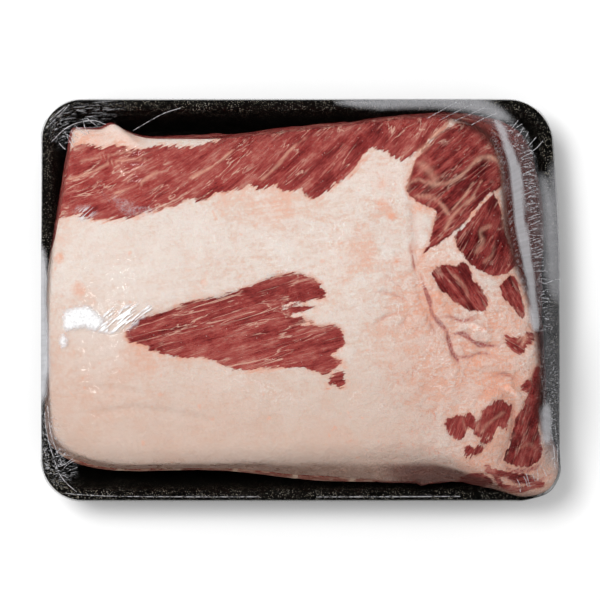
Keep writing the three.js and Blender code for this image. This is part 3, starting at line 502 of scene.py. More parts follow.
def lean_field(x, y):
    """What the bare lean is like at each point: depth inside it, tone, fray, recess and fibre coordinates."""
    lean = np.full(len(x), FAR)
    tone, fray, recess = np.full(len(x), 0.3), np.full(len(x), 0.5), np.zeros(len(x))
    fan = np.clip(FIBRE_MIDDLE + FIBRE_FAN * x, FIBRE_LEAST, FIBRE_MOST)
    steps = np.linspace(-150, 150, 601)
    slope = np.tan(np.radians(np.clip(FIBRE_MIDDLE + FIBRE_FAN * steps, FIBRE_LEAST, FIBRE_MOST)))
    rise = np.interp(x, steps, np.concatenate([[0], np.cumsum((slope[1:] + slope[:-1]) / 4)]))
    turn = np.radians(fan)
    along, across = x * np.cos(turn) + y * np.sin(turn), (y - rise) * np.cos(turn)
    for n, patch in enumerate(LEAN_PATCHES.values()):
        depth = depth_inside(x, y, patch["outline"])
        nearer = depth > lean
        lean[nearer] = depth[nearer]
        tone[nearer], fray[nearer] = patch["tone"], patch["fray"]
        recess += patch["depth"] * smooth(-1.2, 1.6, depth)
        if patch["fibre"] is not None:
            c, s = math.cos(math.radians(patch["fibre"])), math.sin(math.radians(patch["fibre"]))
            along[nearer] = (x * c + y * s)[nearer] + 40 * n
            across[nearer] = (y * c - x * s)[nearer] + 40 * n
    return lean, tone, fray, recess, along, across


# ---- Meshes --------------------------------------------------------------------------------------


def new_piece(name, points, faces, material, attributes=()):
    """A smooth mesh object from points in millimetres, with its point attributes."""
    mesh = bpy.data.meshes.new(name)
    mesh.from_pydata((np.asarray(points) * MM).tolist(), [], faces)
    for label, values in dict(attributes).items():
        values = np.asarray(values, np.float32)
        kind, field = ("FLOAT", "value") if values.ndim == 1 else ("FLOAT_VECTOR", "vector")
        mesh.attributes.new(label, kind, "POINT").data.foreach_set(field, values.ravel())
    mesh.materials.append(material)
    mesh.shade_smooth()
    mesh.validate()
    piece = bpy.data.objects.new(name, mesh)
    bpy.context.scene.collection.objects.link(piece)
    return piece


def loft_faces(ring_count, ring_size, first=0):
    """Quads between rings of the same size. Each ring runs anticlockwise, and the surface goes up or in."""
    faces = []
    for ring in range(ring_count - 1):
        a, b = first + ring * ring_size, first + (ring + 1) * ring_size
        for i in range(ring_size):
            j = (i + 1) % ring_size
            faces.append((a + i, a + j, b + j, b + i))
    return faces


def fan_faces(pole, ring, up):
    pairs = zip(ring, ring[1:] + ring[:1])
    return [(pole, a, b) if up else (pole, b, a) for a, b in pairs]


def ride_root(piece, node=None):
    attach(piece, "root")
    if node:
        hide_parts(node)
    return piece


# ---- Materials -----------------------------------------------------------------------------------


def shade(red, green, blue):
    """A colour given as the eye sees it, from 0 to 255, as Blender's linear values."""
    def linear(v):
        v /= 255
        return v / 12.92 if v <= 0.04045 else ((v + 0.055) / 1.055) ** 2.4
    return (linear(red), linear(green), linear(blue), 1.0)


def between(a, b, share):
    """A colour between two others."""
    return tuple(lerp(a[n], b[n], share) for n in range(4))


class Look:
    """One node material. Each method adds a node and returns its output socket."""

    def __init__(self, name):
        self.material = bpy.data.materials.new(name)
        self.material.use_nodes = True
        self.tree = self.material.node_tree
        self.tree.nodes.clear()
        self.out = self.tree.nodes.new("ShaderNodeOutputMaterial")
        place = self.node("ShaderNodeTexCoord").outputs["Object"]
        self.place = self.scaled(place, (1 / MM, 1 / MM, 1 / MM))

    def node(self, kind, inputs=None, **settings):
        node = self.tree.nodes.new(kind)
        for key, value in settings.items():
            setattr(node, key, value)
        for key, value in (inputs or {}).items():
            if isinstance(value, bpy.types.NodeSocket):
                self.tree.links.new(value, node.inputs[key])
            else:
                node.inputs[key].default_value = value
        return node

    def scaled(self, vector, factors):
        return self.node("ShaderNodeVectorMath", {0: vector, 1: factors}, operation="MULTIPLY").outputs[0]

    def sum(self, *values):
        total = values[0]
        for value in values[1:]:
            total = self.math("ADD", total, value)
        return total

    def math(self, operation, a, b=0.0, c=0.0):
        return self.node("ShaderNodeMath", {0: a, 1: b, 2: c}, operation=operation).outputs[0]

    def noise(self, vector, scale, detail=2.0, roughness=0.5, distortion=0.0):
        return self.node("ShaderNodeTexNoise", {"Vector": vector, "Scale": scale, "Detail": detail,
                                                "Roughness": roughness, "Distortion": distortion}).outputs[0]

    def step(self, value, start, end, low=0.0, high=1.0):
        """Turns value's range from start to end into low to high, along a smooth curve."""
        return self.node("ShaderNodeMapRange", {0: value, 1: start, 2: end, 3: low, 4: high},
                         interpolation_type="SMOOTHSTEP").outputs[0]

    def mix(self, share, a, b, blend="MIX"):
        return self.node("ShaderNodeMix", {0: share, 6: a, 7: b}, data_type="RGBA", blend_type=blend).outputs[2]

    def ramp(self, value, stops):
        node = self.node("ShaderNodeValToRGB", {0: value})
        points = node.color_ramp.elements
        while len(points) < len(stops):
            points.new(0.5)
        for point, (at, colour) in zip(points, stops):
            point.position, point.color = at, colour
        return node.outputs[0]

    def turned(self, vector, degrees, factors):
        """A vector turned about the vertical and then scaled, so that long lumps can lie at an angle."""
        turn = self.node("ShaderNodeVectorRotate", {"Vector": vector, "Angle": math.radians(-degrees)}, rotation_type="Z_AXIS")
        return self.scaled(turn.outputs[0], factors)

    def ridge(self, value, width):
        """A thin line where a noise passes its middle."""
        return self.step(self.math("ABSOLUTE", self.math("SUBTRACT", value, 0.5)), width, width * 0.2)

    def own(self, name, field="Fac"):
        return self.node("ShaderNodeAttribute", attribute_name=name).outputs[field]

    def bump(self, height, distance, strength=1.0, under=None):
        inputs = {"Height": height, "Distance": distance * MM, "Strength": strength}
        if under is not None:
            inputs["Normal"] = under
        return self.node("ShaderNodeBump", inputs).outputs[0]

    def finish(self, shader):
        self.tree.links.new(shader, self.out.inputs["Surface"])
        return self.material


def roast_look(colours):
    look = Look("raw_pork_fat_and_lean")
    place = look.place
    fibre = look.own("fibre", "Vector")
    rugged = look.own("rugged")
    # Edge of the lean: wavering, and frayed along the fibres.
    waver = look.math("MULTIPLY_ADD", look.noise(place, 0.33, 3.0, 0.6), 3.2, -1.6)
    fray_noise = look.noise(look.scaled(fibre, (0.07, 0.75, 0.5)), 1.0, 3.0, 0.65)
    fray = look.math("MULTIPLY", look.math("MULTIPLY_ADD", fray_noise, 8.0, -4.0), look.own("fray"))
    lean_at = look.sum(look.own("lean"), waver, fray)
    lean = look.step(lean_at, -0.35, 0.35)
    salmon = look.math("MULTIPLY", look.step(lean_at, -2.6, 0.4), look.step(look.noise(place, 0.13, 3.0), 0.35, 0.6))
    # Fat: creamy white, clouded with pink, with pores, strokes and thin salmon threads where it is rugged.
    cloud = look.noise(place, 0.045, 4.0, 0.55, 0.3)
    patch = look.noise(place, 0.17, 3.0, 0.6, 0.5)
    fleck = look.noise(place, 0.6, 3.0, 0.65)
    stroke = look.noise(look.turned(place, 8, (0.09, 0.6, 0.3)), 1.0, 3.0, 0.6, 0.8)
    grain = look.noise(place, 2.2, 2.0, 0.6)
    mottle = look.sum(look.math("MULTIPLY", patch, 0.5), look.math("MULTIPLY", fleck, 0.6), look.math("MULTIPLY", stroke, 0.45))
    depth = look.math("MULTIPLY_ADD", rugged, 1.6, 0.9)
    mottle = look.math("MULTIPLY", look.math("SUBTRACT", mottle, 0.775), depth)
    pale = look.sum(look.math("MULTIPLY", cloud, 0.7), 0.15, mottle)
    fat = look.ramp(pale, [
        (0.28, between(colours.fat_pink, colours.salmon, 0.35)), (0.42, colours.fat_pink),
        (0.52, between(colours.fat_pink, colours.fat, 0.6)), (0.68, colours.fat)])
    stain_and_highlight = look.own("stain_and_highlight")
    stain = look.math("MULTIPLY", look.math("MAXIMUM", stain_and_highlight, 0.0), look.step(pale, 0.62, 0.36, 0.5, 1.0))
    fat = look.mix(stain, fat, colours.salmon)
    # Below zero the fat turns paler: mostly paler fat, and in places painted highlights of wet fat.
    fat = look.mix(look.math("MULTIPLY", look.math("MINIMUM", stain_and_highlight, 0.0), -0.8), fat, colours.fat)
    # Painted shade: the fat darkens towards the backbone side of the top and down the flanks.
    fat = look.mix(look.own("painted_top_shade"), fat, colours.fat_painted_shade)
    # Painted shade: the backbone side's flank turns brown where it lies in shade.
    fat = look.mix(look.math("MULTIPLY", look.own("painted_flank_shade"), look.step(patch, 0.35, 0.6, 0.8, 1.0)), fat, colours.fat_flank_shade)
    spot = look.step(look.noise(place, 0.23, 1.0, 0.4), 0.70, 0.78)
    fat = look.mix(look.math("MULTIPLY", spot, 0.35), fat, colours.salmon)
    fat = look.mix(look.math("MULTIPLY", salmon, 0.8), fat, between(colours.salmon, colours.lean, 0.15))
    threads = look.ridge(look.noise(place, 0.10, 4.0, 0.6, 1.2), 0.018)
    threads = look.math("MULTIPLY", threads, look.math("MULTIPLY", rugged, look.step(patch, 0.5, 0.4)))
    fat = look.mix(look.math("MULTIPLY", threads, 0.75), fat, between(colours.salmon, colours.lean, 0.4))
    furrow = look.math("MULTIPLY", look.own("furrow"), look.step(fleck, 0.35, 0.6, 0.7, 1.0))
    fat = look.mix(look.step(furrow, 0.12, 0.75), fat, look.mix(look.step(furrow, 0.3, 0.75), between(colours.salmon, colours.lean, 0.4),
                                         between(colours.lean, colours.lean_shadow, 0.12)))
    pore = look.step(grain, 0.60, 0.42, 0.0, 1.0)
    fat = look.mix(look.math("MULTIPLY", pore, look.math("MULTIPLY_ADD", rugged, 0.42, 0.22)), fat,
                   between(colours.fat_pink, colours.lean, 0.3))
    # Painted highlights: thin near-white lines in the fat's colour, standing for light caught on its wet skin.
    gloss = look.math("MULTIPLY", look.ridge(look.noise(place, 0.13, 4.0, 0.62, 1.0), 0.011),
                      look.step(look.noise(place, 0.05, 2.0), 0.46, 0.6))
    fat = look.mix(look.math("MULTIPLY", gloss, look.own("painted_highlight")), fat, (1, 0.98, 0.95, 1))
    # Lean: long fibre bundles, darker and lighter, with pale veins of fat between them.
    tone = look.own("tone")
    bundle = look.noise(look.scaled(fibre, (0.028, 0.26, 0.3)), 1.0, 3.0, 0.55, 0.5)
    strand = look.noise(look.scaled(fibre, (0.08, 1.1, 1.0)), 1.0, 2.0, 0.6, 0.3)
    thread = look.noise(look.scaled(fibre, (0.35, 3.0, 1.0)), 1.0, 2.0, 0.6)
    lump = look.noise(place, 0.10, 4.0, 0.6, 0.6)
    weave = look.sum(look.math("MULTIPLY", bundle, 0.32), look.math("MULTIPLY", strand, 0.2),
                     look.math("MULTIPLY", thread, 0.22), look.math("MULTIPLY", lump, 0.26))
    bright = look.ramp(weave, [
        (0.39, between(colours.lean_shadow, colours.lean, 0.35)), (0.47, between(colours.lean_shadow, colours.lean, 0.85)),
        (0.53, between(colours.lean, colours.vein, 0.1)), (0.61, between(colours.lean, colours.vein, 0.48))])
    dark = look.ramp(weave, [
        (0.39, between(colours.lean_shadow, (0, 0, 0, 1), 0.35)), (0.47, between(colours.lean_shadow, colours.lean, 0.2)),
        (0.54, between(colours.lean_shadow, colours.lean, 0.75)), (0.62, between(colours.lean, colours.vein, 0.2))])
    flesh = look.mix(tone, bright, dark)
    vein_noise = look.noise(look.scaled(fibre, (0.030, 0.24, 0.3)), 1.0, 3.0, 0.55, 0.6)
    here = look.step(look.noise(look.scaled(fibre, (0.05, 0.09, 0.3)), 1.0, 2.0), 0.42, 0.58)
    long_vein = look.math("MULTIPLY", look.ridge(vein_noise, 0.024), here)
    dash = look.step(look.noise(look.scaled(fibre, (0.045, 0.6, 0.4)), 1.0, 3.0, 0.6, 0.3), 0.62, 0.74)
    vein = look.math("MULTIPLY", look.math("MAXIMUM", long_vein, look.math("MULTIPLY", dash, 0.6)), look.own("marbling"))
    flesh = look.mix(look.math("MULTIPLY", vein, 0.78), flesh, colours.vein)
    flesh = look.mix(look.own("seam"), flesh, between(colours.vein, colours.salmon, 0.35))
    # Painted shade on the lean of the backbone side's flank.
    flesh = look.mix(look.math("MULTIPLY", look.own("painted_flank_shade"), 0.5), flesh, between(colours.fat_flank_shade, colours.lean_shadow, 0.6))
    colour = look.mix(lean, fat, flesh)
    # Painted shade: the blade end's rolled edge and right flank, and the low flank by the knob, are darkened in colour.
    shaded = between(colours.lean_shadow, colours.fat_flank_shade, 0.16)
    colour = look.mix(look.math("MULTIPLY", look.own("painted_side_shade"), 0.9), colour, shaded)
    bump_height = look.sum(
        look.math("MULTIPLY", look.math("MULTIPLY", look.sum(strand, thread), lean), 0.45),
        look.math("MULTIPLY", look.math("MULTIPLY", fleck, look.math("MULTIPLY_ADD", rugged, 0.8, 0.5)), 0.7),
        look.math("MULTIPLY", grain, 0.10),
        look.math("MULTIPLY", look.math("MULTIPLY", patch, look.math("MULTIPLY_ADD", rugged, 1.0, 0.5)), 1.2))
    normal = look.bump(bump_height, 1.3, 0.7)
    wet = look.step(look.noise(place, 0.12, 3.0, 0.6), 0.42, 0.58, 0.26, 0.5)
    rough = look.math("MINIMUM", wet, look.step(lean, 0.0, 1.0, 0.5, 0.32))
    shader = look.node("ShaderNodeBsdfPrincipled", {
        "Base Color": colour, "Roughness": rough, "Normal": normal, "Specular IOR Level": 0.45,
        "Subsurface Weight": 0.10, "Subsurface Radius": (1.0, 0.45, 0.3), "Subsurface Scale": 1.0 * MM})
    return look.finish(shader.outputs[0])


def bone_look(colours):
    look = Look("sawn_raw_bone")
    place = look.place
    cells = look.noise(place, 1.3, 3.0, 0.6)
    marrow = look.ramp(cells, [(0.3, between(colours.lean_shadow, colours.marrow, 0.5)), (0.5, colours.marrow),
                               (0.68, between(colours.marrow, colours.gristle, 0.5))])
    turned = look.node("ShaderNodeSeparateXYZ", {0: place}).outputs
    bands = look.math("PINGPONG", look.sum(turned[0], look.math("MULTIPLY", look.noise(place, 0.1, 2.0), 6.0)), 14.5)
    disc = look.step(bands, 1.6, 0.9)
    rim = look.step(look.noise(place, 0.16, 2.0), 0.5, 0.6)
    colour = look.mix(look.math("MAXIMUM", disc, look.math("MULTIPLY", rim, 0.5)), marrow, colours.gristle)
    normal = look.bump(cells, 0.6, 0.6)
    shader = look.node("ShaderNodeBsdfPrincipled", {"Base Color": colour, "Roughness": 0.42, "Normal": normal,
                                                    "Specular IOR Level": 0.4})
    return look.finish(shader.outputs[0])


def foam_look(colours):
    look = Look("black_pressed_foam")
    place = look.place
    rim = look.own("rim")
    cells = look.node("ShaderNodeTexVoronoi", {"Vector": place, "Scale": 1.8}, feature="F1")
    cell_size = cells.outputs["Distance"]
    lot = look.node("ShaderNodeSeparateXYZ", {0: cells.outputs["Color"]}).outputs
    clump = look.step(look.noise(place, 0.12, 3.0, 0.6), 0.35, 0.6, 0.35, 1.0)
    # Bright foam cells, denser on the rim: partly the foam's own cells, partly painted glints where the rim catches the
    # light.
    speck_and_glint = look.math("MULTIPLY", look.step(lot[0], 0.5, 0.8), look.step(cell_size, 0.5, 0.22))
    speck_and_glint = look.math("MULTIPLY", look.math("MULTIPLY", speck_and_glint, clump), look.math("MULTIPLY_ADD", rim, 0.9, 0.1))
    grain = look.noise(place, 1.9, 3.0, 0.7)
    black = (0, 0, 0, 1)
    ground = look.ramp(grain, [(0.38, between(colours.foam, black, 0.9)), (0.64, between(colours.foam, black, 0.5))])
    tint = look.mix(lot[1], colours.foam_speck_and_glint, between(colours.foam_speck_and_glint, (1, 1, 1, 1), 0.35))
    colour = look.mix(speck_and_glint, ground, tint)
    normal = look.bump(look.sum(look.math("MULTIPLY", cell_size, 0.5), look.math("MULTIPLY", grain, 0.6)), 0.3, 0.7)
    shader = look.node("ShaderNodeBsdfPrincipled", {"Base Color": colour, "Roughness": 0.42, "Normal": normal,
                                                    "Specular IOR Level": 0.35})
    return look.finish(shader.outputs[0])


def film_look(colours):
    look = Look("clear_stretch_film")
    place = look.place
    turned = look.node("ShaderNodeSeparateXYZ", {0: place}).outputs
    flat = look.node("ShaderNodeCombineXYZ", {0: turned[0], 1: turned[1]}).outputs[0]
    ray = look.node("ShaderNodeVectorMath", {0: flat}, operation="NORMALIZE").outputs[0]
    crinkle = look.own("crinkle")
    pleats = look.noise(look.scaled(ray, (60, 60, 60)), 1.0, 3.0, 0.6)
    slack = look.noise(place, 0.06, 3.0, 0.55, 0.4)
    fine = look.noise(place, 0.45, 3.0, 0.6)
    height = look.sum(look.math("MULTIPLY", look.math("MULTIPLY", pleats, crinkle), 1.6), look.math("MULTIPLY", slack, 1.2),
                      look.math("MULTIPLY", fine, 0.10))
    normal = look.bump(height, 0.8, 0.6)
    gloss = look.node("ShaderNodeBsdfAnisotropic", {"Color": (1, 1, 1, 1), "Roughness": 0.06, "Normal": normal})
    clear = look.node("ShaderNodeBsdfTransparent", {0: (0.985, 0.985, 0.985, 1)})
    facing = look.node("ShaderNodeLayerWeight", {"Blend": 0.5, "Normal": normal}).outputs["Facing"]
    mirror = look.math("MULTIPLY_ADD", look.math("POWER", facing, 5.0), 0.5, 0.035)
    surface = look.node("ShaderNodeMixShader", {0: mirror, 1: clear.outputs[0], 2: gloss.outputs[0]})
    # Milky where it is creased or stands off, which is partly painted reflection; the fine white hairs where it clings
    # in ripples, the hatching and the white patches are painted highlights.
    ragged = look.math("MULTIPLY_ADD", look.noise(place, 0.7, 4.0, 0.75), 1.3, -0.65)
    painted_sheen = look.step(look.sum(look.own("painted_sheen"), look.math("MULTIPLY", ragged, 0.7)), 0.15, 1.15)
    painted_slant_streaks = look.step(look.noise(look.turned(place, 40, (0.09, 0.8, 0.3)), 1.0, 2.0, 0.6, 0.4), 0.5, 0.58)
    painted_highlight = look.math("MAXIMUM", look.math("MULTIPLY", painted_sheen, look.step(look.own("painted_sheen"), 0.0, 0.1)),
                      look.math("MULTIPLY", painted_slant_streaks, look.own("painted_slant_streaks")))
    milk = look.node("ShaderNodeBsdfDiffuse", {"Color": look.mix(painted_highlight, colours.film_milk_and_reflection, (1, 1, 1, 1))})
    streak = look.noise(look.scaled(ray, (45, 45, 45)), 1.0, 3.0, 0.7)
    veil = look.math("MULTIPLY", look.own("haze_and_reflection"), look.step(streak, 0.3, 0.7, 0.84, 1.08))
    hair = look.step(look.noise(look.turned(place, 3, (0.11, 1.5, 0.4)), 1.0, 2.0, 0.6, 0.8), 0.56, 0.66)
    hatch = look.step(look.noise(look.turned(place, 40, (0.12, 1.3, 0.4)), 1.0, 2.0, 0.5, 0.4), 0.48, 0.62)
    veil = look.math("MAXIMUM", veil, look.math("MULTIPLY", hair, look.own("hairs")))
    veil = look.math("MAXIMUM", veil, look.math("MULTIPLY", hatch, look.own("hatch")))
    veil = look.math("MAXIMUM", veil, look.math("MULTIPLY", painted_highlight, 0.95))
    surface = look.node("ShaderNodeMixShader", {0: veil, 1: surface.outputs[0], 2: milk.outputs[0]})
    return look.finish(surface.outputs[0])


def fold_look(colours):
    look = Look("doubled_film_folds")
    milk = look.node("ShaderNodeBsdfDiffuse", {"Color": colours.film_milk_and_reflection})
    clear = look.node("ShaderNodeBsdfTransparent", {0: (0.97, 0.97, 0.97, 1)})
    share = look.step(look.noise(look.place, 0.5, 2.0), 0.35, 0.65, 0.1, 0.65)
    surface = look.node("ShaderNodeMixShader", {0: share, 1: clear.outputs[0], 2: milk.outputs[0]})
    return look.finish(surface.outputs[0])


def speck_look(colours):
    look = Look("fat_specks_and_painted_glints")
    tone = look.noise(look.place, 0.8, 2.0)
    # Pale fat specks: their pale colour also stands for wet glints on the lean, so it is partly a painted highlight.
    colour = look.ramp(tone, [(0.35, between(colours.vein, colours.fat, 0.4)), (0.65, colours.fat)])
    shader = look.node("ShaderNodeBsdfPrincipled", {"Base Color": colour, "Roughness": 0.2})
    return look.finish(shader.outputs[0])


def floor_look():
    look = Look("white_surface")
    tone = look.noise(look.place, 0.01, 2.0)
    colour = look.ramp(tone, [(0.3, (0.95, 0.95, 0.95, 1)), (0.7, (0.955, 0.955, 0.955, 1))])
    shader = look.node("ShaderNodeBsdfDiffuse", {"Color": colour})
    return look.finish(shader.outputs[0])


# ---- The roast -----------------------------------------------------------------------------------

TOP_COLUMNS, TOP_ROWS = 240, 172
FLANK_RINGS = 24


def square_grid(columns, rows):
    """Bearing and share of the radius at every point of a square grid pressed into the roast's outline."""
    u, v = np.meshgrid(np.linspace(-1, 1, columns + 1), np.linspace(-1, 1, rows + 1))
    share = np.maximum(np.abs(u), np.abs(v)).ravel()
    return np.arctan2(v * 85, u * 120).ravel(), share


def grid_border(columns, rows):
    """Places in the grid of its border points, anticlockwise from the lower left corner."""
    width = columns + 1
    bottom = list(range(width))
    right = [row * width + columns for row in range(1, rows + 1)]
    top = [rows * width + column for column in range(columns - 1, -1, -1)]
    left = [row * width for row in range(rows - 1, 0, -1)]
    return bottom + right + top + left


def top_relief(x, y, recess, depth):
    rugged = smooth(30, 80, x) * (0.3 + 0.7 * smooth(40, -10, y))
    lumps = 0.45 * ripple(x, y, 26, 3) + 0.25 * ripple(x, y, 11, 4) + 0.10 * ripple(x, y, 4.5, 5)
    lumps += rugged * (0.6 * ripple(x, y, 8, 6) + 0.45 * ripple(x, y, 4, 7) - 0.3)
    return lumps - 0.4 - recess - depth


def roast_surface(sizes):
    """Points, faces and attributes of the whole roast."""
    bearing, share = square_grid(TOP_COLUMNS, TOP_ROWS)
    radius = share * edge_radius(bearing)
    x, y = radius * np.cos(bearing), radius * np.sin(bearing)
    roll = np.clip((share - EDGE_ROUND_START) / (1 - EDGE_ROUND_START), 0, 1)
    _, _, _, recess, _, _ = lean_field(x, y)
    furrow, _ = furrow_field(x, y)
    z = top_height(x, y) - EDGE_ROUND * roll ** EDGE_ROUND_POWER + top_relief(x, y, recess, furrow)
    top = np.stack([x, y, z], 1)
    border = grid_border(TOP_COLUMNS, TOP_ROWS)
    round_bearing = bearing[border]
    edge = top[border]
    rings = []
    out = edge_radius(round_bearing)
    reach = flank_reach(round_bearing)
    limit = overhang_limit(sizes)(round_bearing)
    arc = np.concatenate([[0], np.cumsum(np.hypot(*np.diff(edge[:, :2], axis=0).T))])
    edge_z = edge[:, 2]
    for step in range(1, FLANK_RINGS + 1):
        t = step / FLANK_RINGS
        ring_z = lerp(edge_z, RIM_CLEAR_HEIGHT, t)
        bulge = 0.7 * ripple(arc, ring_z, 17, 11) + 0.3 * ripple(arc, ring_z, 6, 12) - 0.5
        ring_r = np.minimum(out + reach * math.sin(t * math.pi / 2), limit) + bulge * min(1, 4 * t)
        rings.append((ring_r, ring_z))
    flank = out + reach
    for back, level in TUCKS:
        wall = tray_radius(sizes, wall_inset(level))(round_bearing) - WALL_CLEARANCE
        wall = wall - (FOOT_CLEARANCE if level < WALL_FOOT[1] else 0)
        rings.append((np.minimum(flank - back, wall) - 0.4, np.full(len(flank), float(level))))
    rings.append((rings[-1][0] * 0.5, np.full(len(flank), float(ROAST_BASE))))
    side = []
    for ring_r, ring_z in rings:
        points = np.stack([ring_r * np.cos(round_bearing), ring_r * np.sin(round_bearing), ring_z], 1)
        points = recessed_for_bone(points, round_bearing)
        side.append(points)
    points = np.vstack([top, *side, [[0, 0, ROAST_BASE]]])
    width = TOP_COLUMNS + 1
    faces = [(row * width + c, row * width + c + 1, (row + 1) * width + c + 1, (row + 1) * width + c)
             for row in range(TOP_ROWS) for c in range(TOP_COLUMNS)]
    size = len(border)
    first = len(top)
    ring_before = border
    for n in range(len(rings)):
        ring_now = list(range(first + n * size, first + (n + 1) * size))
        faces += [(ring_now[i], ring_now[(i + 1) % size], ring_before[(i + 1) % size], ring_before[i]) for i in range(size)]
        ring_before = ring_now
    faces += fan_faces(len(points) - 1, ring_before, up=False)
    below = np.concatenate([np.zeros(len(top)), *[edge_z - ring_z for _, ring_z in rings], [edge_z.mean() - ROAST_BASE]])
    all_bearing = np.concatenate([bearing, *[round_bearing] * len(rings), [0.0]])
    all_arc = np.concatenate([x, *[arc] * len(rings), [0.0]])
    return points, faces, below, all_bearing, all_arc, share


def bone_window(points):
    """How far inside the backbone's section each point is, along the backbone's own axes."""
    c, s = math.cos(BONE_TURN), math.sin(BONE_TURN)
    x, y = points[:, 0] * c + points[:, 1] * s, points[:, 1] * c - points[:, 0] * s
    gap, inside = distance_to(y, points[:, 2], BACKBONE_SECTION)
    return np.minimum(np.where(inside, gap, -gap), np.minimum(x - BONE_LEFT_END, BONE_RIGHT_END - x))


def recessed_for_bone(points, bearing):
    """Sets the meat back where the sawn bone shows, so that the bone lies in it."""
    back = 2.2 * smooth(-0.6, 0.9, bone_window(points))
    points[:, 0] -= back * np.cos(bearing)
    points[:, 1] -= back * np.sin(bearing)
    return points


def roast_attributes(points, below, bearing, arc):
    x, y = points[:, 0], points[:, 1]
    lean, tone, fray, _, along, across = lean_field(x, y)
    _, furrow = furrow_field(x, y)
    turns, thickness = zip(*FLANK_FAT)
    cover = np.interp(np.degrees(bearing), turns, thickness)
    flank = below > 0.01
    side_lean = np.where(flank, below - cover, FAR)
    on_side = flank & (side_lean > lean)
    lean = np.where(on_side, np.minimum(side_lean, 20), lean)
    tone = np.where(on_side, 0.75, tone)
    along = np.where(on_side, arc, along)
    across = np.where(on_side, points[:, 2], across)
    tone = tone + np.where(tone < 0.2, 0.35 * smooth(-60, 60, x), 0)
    tone = tone + np.where(tone > 0.7, 0.35, 0.12) * ripple(x, y, 13, 21)
    stain_and_highlight = np.zeros(len(x))
    for bx, by, radius, strength in STAINS_AND_HIGHLIGHTS:
        mark = strength * np.exp(-((x - bx) ** 2 + (y - by) ** 2) / radius ** 2)
        stain_and_highlight = np.where(np.abs(mark) > np.abs(stain_and_highlight), mark, stain_and_highlight)
    # Painted shade: darker fat towards the backbone side of the top, and on the flanks.
    painted_top_shade = 0.8 * smooth(20, -85, y) * (1 - 0.8 * smooth(45, 90, x)) + 0.3 * smooth(0, 8, below)
    rugged = np.clip(smooth(15, 75, x) * (0.45 + 0.55 * smooth(40, -10, y)) + 0.3 * smooth(0, 6, below), 0, 1)
    # Painted shade on the backbone side's flank, at the lower left.
    low_side = smooth(-178, -165, np.degrees(bearing)) * smooth(-20, -40, np.degrees(bearing))
    painted_flank_shade = smooth(1, 9, below) * low_side
    degrees = np.degrees(bearing)
    share = np.hypot(x, y) / edge_radius(bearing)
    # Painted shade on the blade end's rolled edge and right flank, and on the low flank by the knob.
    painted_side_shade = smooth(0.965, 1, share) * smooth(-36, -26, degrees) * smooth(54, 48, degrees)
    painted_side_shade *= 1 - 0.55 * smooth(33, 39, degrees) * smooth(2, 6, below)
    painted_side_shade += 0.8 * smooth(2, 9, below) * smooth(-68, -58, degrees) * smooth(-40, -46, degrees)
    # Painted highlights: where the thin bright lines on the fat show.
    painted_highlight = 0.6 * smooth(-70, -10, x) * smooth(-62, -36, y) * smooth(2, 0, below)
    seam = seam_field(x, y) * (below < 1)
    marbling = np.where(tone > 0.6, 0.55, 1.0)
    fibre = np.stack([along, across, points[:, 2] * 0.2], 1)
    return {"lean": lean, "tone": np.clip(tone, 0, 1), "fray": fray, "furrow": np.clip(furrow, 0, 1), "stain_and_highlight": stain_and_highlight,
            "painted_top_shade": np.clip(painted_top_shade, 0, 1), "marbling": marbling, "fibre": fibre, "rugged": rugged, "painted_flank_shade": painted_flank_shade, "seam": seam,
            "painted_side_shade": painted_side_shade, "painted_highlight": painted_highlight}


def build_roast(sizes, colours):
    points, faces, below, bearing, arc, _ = roast_surface(sizes)
    return new_piece("roast", points, faces, roast_look(colours), roast_attributes(points, below, bearing, arc))


# ---- Tray and film -------------------------------------------------------------------------------


def build_tray(sizes, colours):
    rings = []
    for inset, z in TRAY_SECTION:
        ring = tray_ring(sizes, inset)
        rings.append(np.column_stack([ring, np.full(len(ring), float(z))]))
    size = len(rings[0])
    points = np.vstack([[[0, 0, TRAY_SECTION[0][1]]], *rings, [[0, 0, TRAY_SECTION[-1][1]]]])
    faces = loft_faces(len(rings), size, 1)
    faces += fan_faces(0, list(range(1, size + 1)), up=False)
    last = len(points) - 1
    faces += fan_faces(last, list(range(last - size, last)), up=True)
    inset = np.array([TRAY_SECTION[0][0]] + [p[0] for p in TRAY_SECTION for _ in range(size)] + [TRAY_SECTION[-1][0]])
    height = points[:, 2]
    # More bright cells where the rim's top catches the light: partly painted glints.
    rim = smooth(17, 4, inset) * smooth(12, 27, height) * np.where(inset > 3, 0.6 + 0.4 * smooth(24, 29, height), 1)
    return new_piece("tray", points, faces, foam_look(colours), {"rim": rim})


FILM_BEARINGS = 600
FILM_SHARES = np.concatenate([np.linspace(0.03, 0.84, 32), np.linspace(0.86, 1.0, 10)])
VEIL_KINDS = ("haze_and_reflection", "hairs", "hatch", "painted_slant_streaks", "painted_sheen")
FILM_FLANK_STEPS = 20
FOLD_LIFT = 0.1


def pulled_taut(r, z):
    """Upper hull of a section given from the middle outwards, with the passed points spread along its straights."""
    hull = []
    for i in range(len(r)):
        while len(hull) > 1:
            a, b = hull[-2:]
            if (r[b] - r[a]) * (z[i] - z[a]) - (z[b] - z[a]) * (r[i] - r[a]) < 0:
                break
            hull.pop()
        hull.append(i)
    n = np.arange(len(r))
    return np.interp(n, hull, r[hull]), np.interp(n, hull, z[hull])


